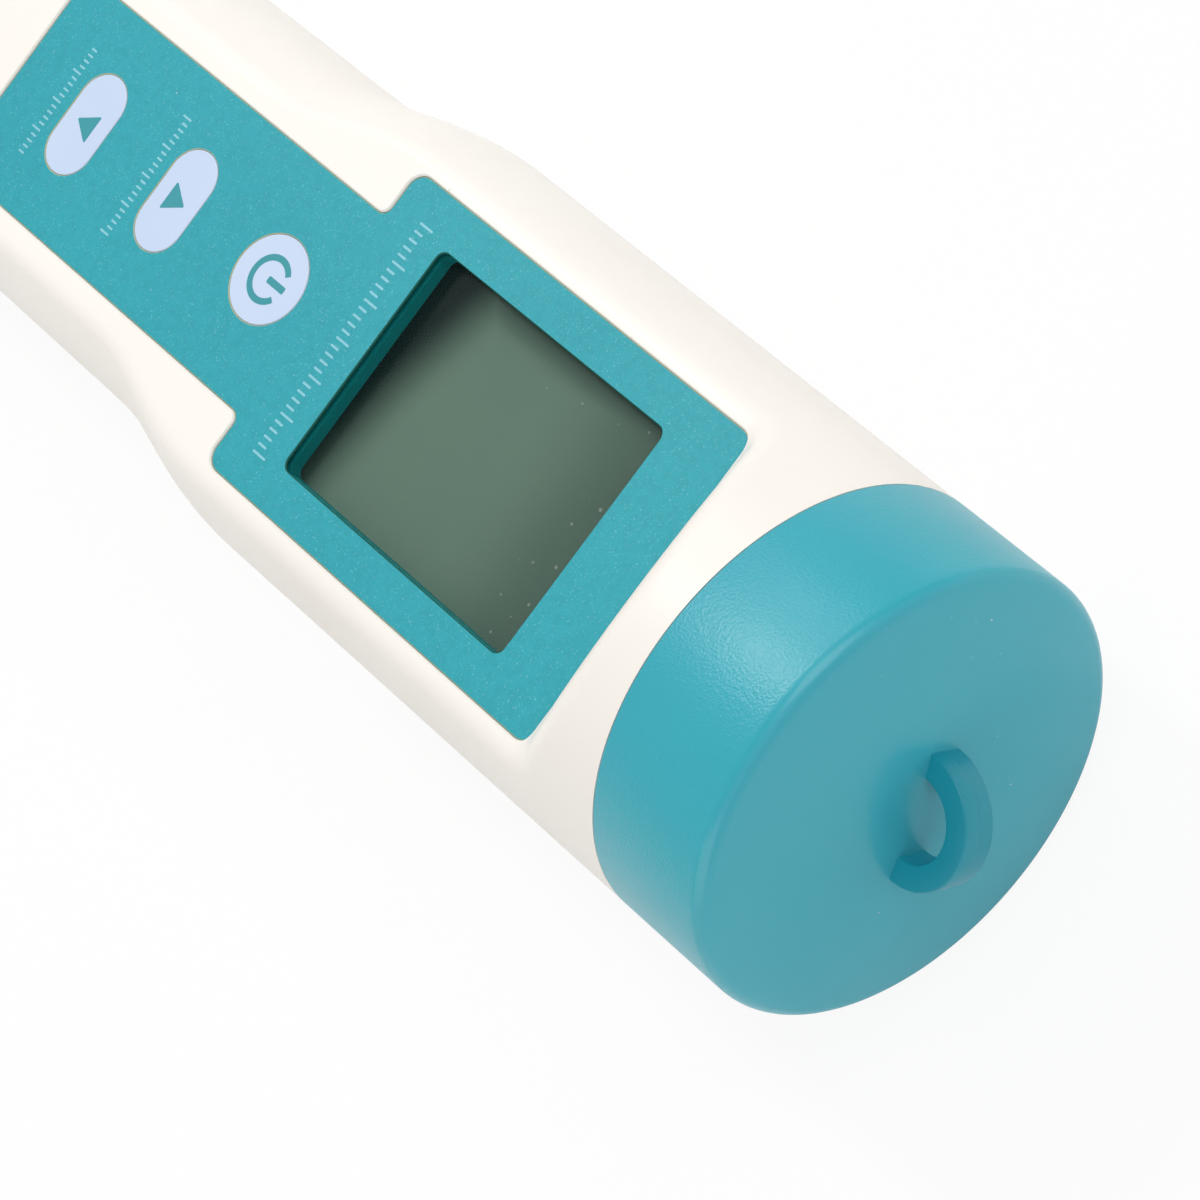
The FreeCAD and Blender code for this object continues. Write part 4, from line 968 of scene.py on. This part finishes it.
@dataclass
class Panel:
    """Overlay, the plate under it, the printed marks and the display's well."""

    near_x: float = 64.6
    step_x: float = 23.5
    far_x: float = -17.4
    wide: float = 13.95
    narrow: float = 9.5
    corner: float = 1.5
    notch: float = 0.9
    top_z: float = 29.75
    film: float = 0.25
    well_z: float = 27.75
    window_near: float = 57.47
    window_far: float = 30.03
    window_half: float = 10.3
    window_corner: float = 0.8
    lens_lap: float = 1.25
    lens_z: float = 28.9
    key_gap: float = 0.02
    key_room: float = 1.1
    edge: float = 0.08
    opening_x: Point = (28.43, 59.07)
    opening_half: float = 11.4
    opening_z: float = 25.0
    rows: tuple[Ticks, ...] = (
        Ticks(26.7, 1, 0.72, 15, 1.6, 1.0, 0.2),
        Ticks(1.3, -1, 0.56, 10, 1.1, 0.7, 0.18),
        Ticks(-11.5, -1, 0.56, 9, 1.1, 0.7, 0.18),
    )

    def outline(self, grow: float = 0.0) -> list[Point]:
        """Gives the panel's outline, grown all round."""
        near, step, far = self.near_x + grow, self.step_x - grow, self.far_x - grow
        wide, narrow = self.wide + grow, self.narrow + grow
        right = [(near, -wide), (near, wide), (step, wide), (step, narrow)]
        left = [(far, narrow), (far, -narrow), (step, -narrow), (step, -wide)]
        outer, inner = self.corner + grow, self.notch - grow
        return rounded(right + left, [outer, outer, outer, inner, outer, outer, inner, outer], 8)

    def window(self, grow: float, low: float, high: float) -> Shape:
        """Makes a block as large as the window, grown all round."""
        near, far, half = self.window_near + grow, self.window_far - grow, self.window_half + grow
        return slab(rounded(rectangle((far, -half), (near, half)), self.window_corner, 6), low, high)

    def recess(self, gap: float, lead: float, flat: float) -> list[Shape]:
        """Gives the shapes of the recess in the housing and of the opening under the display.

        Args:
            gap: gap round the panel.
            lead: width of the chamfer round the recess.
            flat: height of the housing's flat.

        Returns:
            The recess with its chamfer, and the opening.
        """
        low = self.well_z
        levels = ((low, gap), (flat - lead, gap), (flat, gap + lead), (flat + 8, gap + lead))
        funnel = skin([[Vector((x, y, level)) for x, y in self.outline(grow)] for level, grow in levels])
        (far, near), half = self.opening_x, self.opening_half
        return [funnel, block((far, -half, self.opening_z), (near, half, low + 1))]

    def build(self, keys: "Keys") -> None:
        """Builds the overlay and the plate, and prints the marks."""
        base, well, top = self.top_z - self.film, self.well_z, self.top_z
        holes = [self.window(0.0, base - 1, top + 1)]
        holes += [slab(outline, base - 1, top + 1) for outline in keys.outlines(self.key_gap)]
        film = carved(slab(self.outline(), base, top), holes)
        soften(film, lambda edge: self.on_rim(edge, top - HAIR), self.edge, 1)
        finished("panel_overlay", film, OVERLAY, "panel_film", sharp=CRISP)
        seats = [self.window(0.0, well - 1, base + 1), self.window(self.lens_lap, self.lens_z, base + 1)]
        seats += [slab(outline, well - 1, base + 1) for outline in keys.outlines(self.key_room)]
        plate = carved(slab(self.outline(), well, base), seats)
        finished("panel_base", plate, TEAL_PLATE, "panel_plate", sharp=CRISP)
        dress("display_window", LENS)
        self.marks()

    @staticmethod
    def on_rim(edge: Edge, top: float) -> bool:
        """Tells whether an edge runs round the top face."""
        flat = all(vert.co.z > top for vert in edge.verts)
        return flat and edge.calc_face_angle(0.0) > math.radians(60)

    def marks(self) -> None:
        """Prints a plain scale beside the window and short rules beside the oval keys."""
        strokes = []
        for row in self.rows:
            for count in range(-row.reach, row.reach + 1):
                length = row.short if count % 5 else row.long
                middle = (row.x + row.way * length / 2, row.pitch * count)
                strokes.append(self.stroke(middle, (length, row.width)))
        finished("panel_marks", joined(strokes), PRINT_MARK)

    def stroke(self, middle: Point, size: Point) -> Shape:
        """Makes one printed stroke with rounded ends."""
        (x, y), (length, width) = middle, size
        corners = rectangle((x - length / 2, y - width / 2), (x + length / 2, y + width / 2))
        return printed(rounded(corners, min(size) * 0.45, 3), self.top_z)


@dataclass
class Keys:
    """The round key and the two oval ones, with their symbols."""

    power_x: float = 17.7
    up_x: float = 4.95
    down_x: float = -7.8
    power_radius: float = 3.75
    oval_length: float = 9.2
    oval_width: float = 5.1
    flange: float = 0.8
    low_z: float = 28.8
    flange_z: float = 29.4
    top_z: float = 29.75
    edge: float = 0.1
    ring: Point = (2.1, 1.55)
    ring_open: float = 36
    bar: Triple = (-0.1, 2.0, 0.3)
    triangle: Triple = (1.15, 1.0, 1.3)

    def outlines(self, grow: float) -> list[list[Point]]:
        """Gives the three outlines, grown all round."""
        shapes = [arc((self.power_x, 0.0), self.power_radius + grow, 0, 360, 96)[:-1]]
        radius = self.oval_width / 2 + grow
        reach = (self.oval_length - self.oval_width) / 2
        for x in (self.up_x, self.down_x):
            shapes.append(arc((x, reach), radius, 0, 180, 32) + arc((x, -reach), radius, 180, 360, 32))
        return shapes

    def build(self) -> None:
        """Builds the tops with their flanges, and prints the symbols."""
        bodies = {"power": Body.POWER, "up": Body.UP, "down": Body.DOWN}
        level = self.top_z - HAIR
        for (name, body), top, flange in zip(bodies.items(), self.outlines(0.0), self.outlines(self.flange)):
            upper = slab(top, self.flange_z, self.top_z)
            soften(upper, lambda edge: Panel.on_rim(edge, level), self.edge, 3)
            whole = joined([upper, slab(flange, self.low_z, self.flange_z + HAIR)])
            finished(f"{name}_key_top", whole, KEY_PRINT, f"{name}_key", body, CRISP)
            dress(f"{name}_plunger", GREY)
        self.power_symbol()
        tip, foot, half = self.triangle
        for name, x, sign in (("up", self.up_x, 1), ("down", self.down_x, -1)):
            corners = [(x + tip * sign, 0.0), (x - foot * sign, half * sign), (x - foot * sign, -half * sign)]
            mark = printed(rounded(corners, 0.1, 3), self.top_z)
            finished(f"{name}_symbol", mark, KEY_MARK, body=bodies[name])

    def power_symbol(self) -> None:
        """Prints the open ring with its bar, which stands towards the display."""
        middle, (outer, inner), (start, end, half) = (self.power_x, 0.0), self.ring, self.bar
        first, last = self.ring_open, 360 - self.ring_open
        ring = arc(middle, outer, first, last, 64) + arc(middle, inner, last, first, 64)
        corners = rectangle((self.power_x + start, -half), (self.power_x + end, half))
        symbol = joined([printed(shape, self.top_z) for shape in (ring, rounded(corners, 0.12, 3))])
        finished("power_symbol", symbol, KEY_MARK, body=Body.POWER)


@dataclass
class Electronics:
    """Display cell, its frame and light guide, and the board with its parts."""

    def build(self) -> None:
        """Dresses the solids behind the panel."""
        finishes = {
            "lcd_glass": DISPLAY,
            "lcd_backlight": GUIDE,
            "lcd_frame": BLACK,
            "zebra_strips": BANDED,
            "main_board": BOARD,
            "switch_bodies": BLACK,
            "board_screws": STEEL,
            "board_chips": BLACK,
            "probe_connector": BLACK,
        }
        for node, finish in finishes.items():
            dress(node, finish)


# Battery end


HOLDER_PROFILE: tuple[Point, ...] = (
    (60.17, 0.0), (60.17, 7.05), (71.25, 7.05), (71.25, 16.95), (74.25, 16.95), (74.25, 16.4), (75.35, 16.4),
    (75.35, 15.3), (77.25, 15.3), (77.25, 16.4), (81.85, 16.4), (82.25, 16.0), (82.25, 14.6), (75.25, 14.6),
    (75.25, 7.05), (81.95, 7.05), (82.25, 6.75), (82.25, 6.05), (60.97, 6.05), (60.97, 0.0),
)
CAN_PROFILE: tuple[Point, ...] = (
    (0.0, 0.0), (0.0, 4.872), (0.4, 4.872), (0.4, 5.6), (0.6, 5.8), (5.1, 5.8), (5.4, 5.5), (5.4, 0.0)
)
CONTACT_PROFILE: tuple[Point, ...] = (
    (82.97, 0.0), (82.97, 1.9), (83.2, 2.2), (83.75, 2.4), (83.75, 7.8), (83.95, 8.0), (84.25, 8.0),
    (84.25, 0.0),
)


@dataclass
class BatteryEnd:
    """Screw cap with its loop, and the holder, seal and cells inside it."""

    axis_z: float = 19.0
    radius: float = 19.0
    rim_x: float = 74.31
    face_x: float = 86.55
    dome_x: float = 88.55
    ceiling_x: float = 84.35
    bore: float = 16.7
    fillet: float = 1.35
    rim_edge: float = 0.08
    loop_outer: float = 5.45
    loop_inner: float = 3.35
    loop_thickness: float = 2.85
    loop_turn: float = math.radians(30)
    loop_edge: float = 0.16
    loop_step: float = 0.07
    loop_root: float = 1.2
    thread_turns: float = 1.35
    thread_lead: float = 2.55
    thread_x: float = 77.7
    thread_rise: float = 0.24
    neck_radius: float = 16.4
    seal: Triple = (76.3, 15.95, 0.65)
    cell_count: int = 4
    cell_x: float = 61.27
    cell_pitch: float = 5.4

    def dome(self) -> list[Point]:
        """Gives the rounded rim and the domed end, from the skirt to the axis."""
        rise = self.dome_x - self.face_x
        big = (self.radius**2 / rise + rise) / 2
        centre_x = self.dome_x - big
        centre_r = self.radius - self.fillet
        blend_x = centre_x + math.sqrt((big - self.fillet) ** 2 - centre_r**2)
        lean = math.degrees(math.atan2(centre_r, blend_x - centre_x))
        rim = arc((blend_x, centre_r), self.fillet, 90, lean, 10)
        start = math.degrees(math.asin(rim[-1][1] / big))
        return rim + arc((centre_x, 0.0), big, start, 0, 24)[1:]

    def cap(self) -> None:
        """Builds the cap: skirt, rounded rim, domed end and bore."""
        edge = self.rim_edge
        skirt = [(self.rim_x, self.bore + edge), (self.rim_x, self.radius - edge)]
        skirt += arc((self.rim_x + edge, self.radius - edge), edge, 180, 90, 3)[1:]
        ceiling = self.ceiling_x
        inside = [(ceiling, 0.0), (ceiling, self.bore - 1.0)]
        inside += arc((ceiling - 1.0, self.bore - 1.0), 1.0, 0, 90, 5)[1:]
        profile = [*skirt, *self.dome()[:-1], (self.dome_x, 0.0), *inside, (self.rim_x + edge, self.bore)]
        shape = turned(profile, self.axis_z, steps=CAP_STEPS)
        finished("cap_shell", shape, TEAL_CAP, "battery_cap", Body.SCREW_CAP)

    def loop(self) -> None:
        """Builds the half ring for a cord, with the step that the mould's halves leave on its rim."""
        wide = self.loop_outer - self.loop_inner
        middle = (self.loop_outer + self.loop_inner) / 2
        half, deep, low = wide / 2, self.loop_thickness / 2, wide / 2 - self.loop_step
        profile = [(-half, -deep), (low, -deep), (low, -0.1), (half, 0.0), (half, deep), (-half, deep)]
        edge = self.loop_edge
        section = rounded(profile, [edge, edge, 0.03, 0.03, edge, edge], 4)
        along = Vector((0, math.cos(self.loop_turn), math.sin(self.loop_turn)))
        across = Vector((0, -math.sin(self.loop_turn), math.cos(self.loop_turn)))
        top = Vector((self.dome_x, 0, self.axis_z))
        forward, turns = Vector((1, 0, 0)), [math.pi * step / 48 for step in range(49)]
        path = [(-self.loop_root, 0.0), *((0.0, angle) for angle in turns), (-self.loop_root, math.pi)]
        rings = []
        for sink, angle in path:
            spoke = along * math.cos(angle) + forward * math.sin(angle)
            start = top + forward * sink
            rings.append([start + spoke * (middle + u) + across * v for u, v in section])
        finished("cap_loop", skin(rings), TEAL_LOOP, body=Body.SCREW_CAP)

    def neck(self) -> None:
        """Builds the holder with its neck and thread, and the seal in the neck's groove."""
        holder = turned(HOLDER_PROFILE, self.axis_z)
        finished("cell_holder", holder, GREY, "battery_holder")
        finished("neck_thread", self.thread(), GREY)
        seal = turned(ring_profile(*self.seal), self.axis_z)
        finished("neck_ring", seal, RUBBER, "neck_seal")

    def thread(self) -> Shape:
        """Winds the low ridge of the screw thread round the neck, running out to nothing at both ends."""
        steps = round(self.thread_turns * 96)
        rings = []
        for step in range(steps + 1):
            angle = TURN * self.thread_turns * step / steps
            rise = self.thread_rise * min(1.0, step / 10, (steps - step) / 10)
            spoke = Vector((0, math.cos(angle), math.sin(angle)))
            middle = Vector((self.thread_x + self.thread_lead * angle / TURN, 0, self.axis_z))
            profile = ((-0.55, -0.1), (-0.25, rise), (0.25, rise), (0.55, -0.1))
            rings.append([middle + Vector((x, 0, 0)) + spoke * (self.neck_radius + up) for x, up in profile])
        return skin(rings)

    def cells(self) -> None:
        """Builds the four button cells, and dresses the contacts."""
        for count in range(self.cell_count):
            start = self.cell_x + self.cell_pitch * count
            can = turned([(start + x, radius) for x, radius in CAN_PROFILE], self.axis_z, steps=CELL_STEPS)
            finished(f"cell_can_{count + 1}", can, NICKEL, f"button_cell_{count + 1}")
        dress("tube_contact", BRASS)
        contact = turned(CONTACT_PROFILE, self.axis_z, steps=CELL_STEPS)
        finished("cap_contact_disc", contact, BRASS, "cap_contact", Body.CARRIAGE)

    def build(self) -> None:
        """Builds everything at the battery end."""
        self.cap()
        self.loop()
        self.neck()
        self.cells()


# Probe end


BARREL_PROFILE: tuple[Point, ...] = (
    (-41.0, 0.0), (-41.0, 12.8), (-43.0, 12.8), (-43.0, 12.0), (-48.6, 12.0), (-48.6, 11.1), (-50.4, 11.1),
    (-50.4, 12.0), (-83.2, 12.0), (-83.5, 11.7), (-83.5, 10.8), (-66.0, 10.8), (-66.0, 0.0),
)
PAD_PROFILE: tuple[Point, ...] = ((-91.0, 0.0), (-91.0, 12.0), (-88.5, 12.0), (-88.2, 11.7), (-88.2, 0.0))
ROD_PROFILE: tuple[Point, ...] = (
    (-66.0, 0.0), (-66.0, 1.3), (-72.0, 1.3), (-72.0, 1.4), (-73.5, 1.4), (-73.5, 1.3), (-74.8, 1.3),
    (-75.0, 1.1), (-75.0, 0.0),
)
PIN_PROFILE: tuple[Point, ...] = ((-66.0, 0.0), (-66.0, 0.8), (-73.2, 0.8), (-73.5, 0.5), (-73.5, 0.0))


@dataclass
class ProbeEnd:
    """Electrode cap, the barrel with its guard, and the sensors inside the guard."""

    form: Form
    cap_near_x: float = -46.2
    axis_z: float = 14.975
    bore: float = 12.3
    seat_x: float = -91.0
    face_x: float = -66.0
    circle: float = 6.6
    seal: Triple = (-49.5, 11.65, 0.55)
    window_x: Point = (-81.0, -68.0)
    window_half: float = 5.0
    window_reach: float = 20.0
    stem_x: float = -76.5
    stem_radius: float = 2.4
    bulb_radius: float = 3.3
    heat_x: float = -74.5
    heat_radius: float = 1.5

    def cap(self) -> None:
        """Builds the cap that carries on the housing's form."""
        spans = [(self.cap_near_x, self.seat_x, 12.0), (self.seat_x, self.form.far_x + 0.001, 0.16)]
        room = turned(rod(self.seat_x, -40.0, self.bore), self.axis_z)
        shell = carved(self.form.body(spans), [room])
        bmesh.ops.recalc_face_normals(shell, faces=shell.faces)
        finished("probe_cap_shell", shell, WHITE, "electrode_cap", Body.PROBE_CAP)
        pad = turned(PAD_PROFILE, self.axis_z)
        finished("cap_sponge_pad", pad, SPONGE, "cap_sponge", Body.PROBE_CAP)

    def barrel(self) -> None:
        """Builds the barrel with its flange, groove and guard, and the seal in the groove."""
        (far, near), half, reach, z = self.window_x, self.window_half, self.window_reach, self.axis_z
        outline = rounded(rectangle((far, -half), (near, half)), 1.0, 5)
        across = skin([[Vector((x, y, z + up)) for x, up in outline] for y in (-reach, reach)])
        upright = slab(outline, z - reach, z + reach)
        guarded = carved(turned(BARREL_PROFILE, z), [across, upright])
        finished("probe_barrel", guarded, GREY, "probe_holder")
        finished("probe_ring", turned(ring_profile(*self.seal), z), RUBBER, "probe_seal")

    def around(self, degrees: float) -> Point:
        """Gives the height and side offset of a place on the sensor circle."""
        angle = math.radians(degrees)
        return self.axis_z + self.circle * math.sin(angle), self.circle * math.cos(angle)

    def sensors(self) -> None:
        """Builds the glass electrode and the ring of other sensors."""
        thin, stem_x, bulb_radius = self.stem_radius, self.stem_x, self.bulb_radius
        stem = turned(rod(self.face_x, stem_x, thin), self.axis_z, steps=GLASS_STEPS)
        finished("glass_stem", stem, PROBE_GLASS, "ph_stem")
        centre = stem_x - math.sqrt(bulb_radius**2 - thin**2)
        start = math.degrees(math.asin(thin / bulb_radius))
        bulb = [(stem_x, 0.0), *arc((centre, 0.0), bulb_radius, start, 180, 20)]
        bulb[-1] = (bulb[-1][0], 0.0)
        bulb = turned(bulb, self.axis_z, steps=GLASS_STEPS)
        finished("glass_bulb", bulb, PROBE_GLASS, "ph_bulb")
        redox = turned(ROD_PROFILE, *self.around(45), ROD_STEPS)
        finished("redox_rod", redox, PLATINUM, "orp_electrode")
        tube = [(self.face_x, 0.0), (self.face_x, self.heat_radius)]
        tube += arc((self.heat_x, 0.0), self.heat_radius, 90, 180, 8)
        tube[-1] = (tube[-1][0], 0.0)
        heat = turned(tube, *self.around(135), ROD_STEPS)
        finished("heat_sensor", heat, STEEL, "temperature_sensor")
        pins = joined([turned(PIN_PROFILE, *self.around(degrees), PIN_STEPS) for degrees in (-45, -135)])
        finished("conductivity_pins", pins, STEEL, "ec_pins")
        dress("reference_junction", CERAMIC)

    def build(self) -> None:
        """Builds everything at the probe end."""
        self.cap()
        self.barrel()
        self.sensors()


# The studio


@dataclass(frozen=True)
class Lamp:
    """A square soft lamp: its place, size, power and the point it looks at."""

    name: str
    place: Triple
    size: float
    power: float
    aim: Triple

    def hang(self) -> None:
        """Adds the lamp to the scene."""
        data = bpy.data.lights.new(self.name, "AREA")
        data.shape, data.size, data.energy = "SQUARE", self.size, self.power
        lamp = bpy.data.objects.new(self.name, data)
        turn = (Vector(self.aim) - Vector(self.place)).to_track_quat("-Z", "Y").to_matrix().to_4x4()
        lamp.matrix_world = Matrix.Translation(self.place) @ turn
        bpy.context.scene.collection.objects.link(lamp)


@dataclass
class Studio:
    """Pale floor, soft light and the camera at the photograph's angle."""

    eye: Triple = (0.3016, 0.0332, 0.34985)
    right: Triple = (0.61009, 0.59535, -0.52283)
    up: Triple = (-0.52082, 0.7986, 0.30162)
    back: Triple = (0.5971, 0.08828, 0.79729)
    lens: float = 165.895
    sensor: float = 36.0
    floor_size: float = 6.0
    floor_share: float = 0.9
    daylight: float = 0.54
    lamps: tuple[Lamp, ...] = (
        Lamp("key_lamp", (0.45, 0.42, 0.95), 0.7, 3.3, (0.03, 0.0, 0.02)),
        Lamp("fill_lamp", (0.3, -0.9, 0.2), 0.8, 2.0, (0.03, 0.0, 0.02)),
        Lamp("sheen_lamp", (-0.38, 0.14, 0.68), 0.11, 1.9, (0.08, 0.003, 0.038)),
        Lamp("edge_lamp", (-0.45, 0.5, 0.58), 0.14, 0.8, (0.086, 0.01, 0.035)),
    )

    def camera(self) -> None:
        """Places the camera."""
        data = bpy.data.cameras.new("view")
        data.lens, data.sensor_width = self.lens, self.sensor
        data.clip_start, data.clip_end = 0.01, 20.0
        eye = bpy.data.objects.new("view", data)
        axes = Matrix((self.right, self.up, self.back)).transposed().to_4x4()
        eye.matrix_world = Matrix.Translation(self.eye) @ axes
        bpy.context.scene.collection.objects.link(eye)
        bpy.context.scene.camera = eye

    def world(self) -> None:
        """Lights the scene evenly and shows plain white behind it."""
        world = bpy.data.worlds.new("studio")
        world.use_nodes = True
        web = Web(world.node_tree)
        rays = web.node("LightPath").outputs
        seen = web.math("MAXIMUM", rays["Is Camera Ray"], rays["Is Transmission Ray"])
        light = web.node("Background", {"Color": (1.0, 0.99, 0.97, 1.0), "Strength": self.daylight})
        white = web.node("Background", {"Color": (1.0, 1.0, 1.0, 1.0), "Strength": 1.0})
        mixed = web.node("MixShader", {0: seen, 1: light.outputs[0], 2: white.outputs[0]})
        web.node("OutputWorld", {"Surface": mixed.outputs[0]})
        bpy.context.scene.world = world

    def floor(self) -> None:
        """Lays the floor: near white to the camera, with a soft shadow."""
        shape = bmesh.new()
        low = Matrix.Translation((0, 0, -0.0001))
        bmesh.ops.create_grid(shape, x_segments=1, y_segments=1, size=self.floor_size / 2, matrix=low)
        plane = loose("floor", shape)
        material = bpy.data.materials.new("floor")
        material.use_nodes = True
        web = Web(material.node_tree)
        rays = web.node("LightPath").outputs
        noise = web.node("TexNoise", {"Vector": web.place(), "Scale": 30.0, "Detail": 3.0})
        tone = web.mix(noise.outputs[0], (0.86, 0.86, 0.86), (0.9, 0.9, 0.9))
        matte = web.node("BsdfDiffuse", {"Color": tone})
        white = web.node("Emission", {"Color": (1.0, 1.0, 1.0, 1.0), "Strength": 1.0})
        share = web.times(rays["Is Camera Ray"], self.floor_share)
        mixed = web.node("MixShader", {0: share, 1: matte.outputs[0], 2: white.outputs[0]})
        web.node("OutputMaterial", {"Surface": mixed.outputs[0]})
        plane.data.materials.append(material)

    def build(self) -> None:
        """Sets up floor, light and camera."""
        self.world()
        self.floor()
        for lamp in self.lamps:
            lamp.hang()
        self.camera()
        bpy.context.scene.view_settings.view_transform = "Standard"


def main() -> None:
    """Builds the tester piece by piece, then the studio; each piece's face count goes to the log."""
    logging.basicConfig(level=logging.INFO, format="%(message)s")
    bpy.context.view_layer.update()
    form, panel, keys = Form(), Panel(), Keys()
    Housing(form).build(panel)
    panel.build(keys)
    keys.build()
    Electronics().build()
    BatteryEnd().build()
    ProbeEnd(form).build()
    Studio().build()


if __name__ == "__main__":
    main()
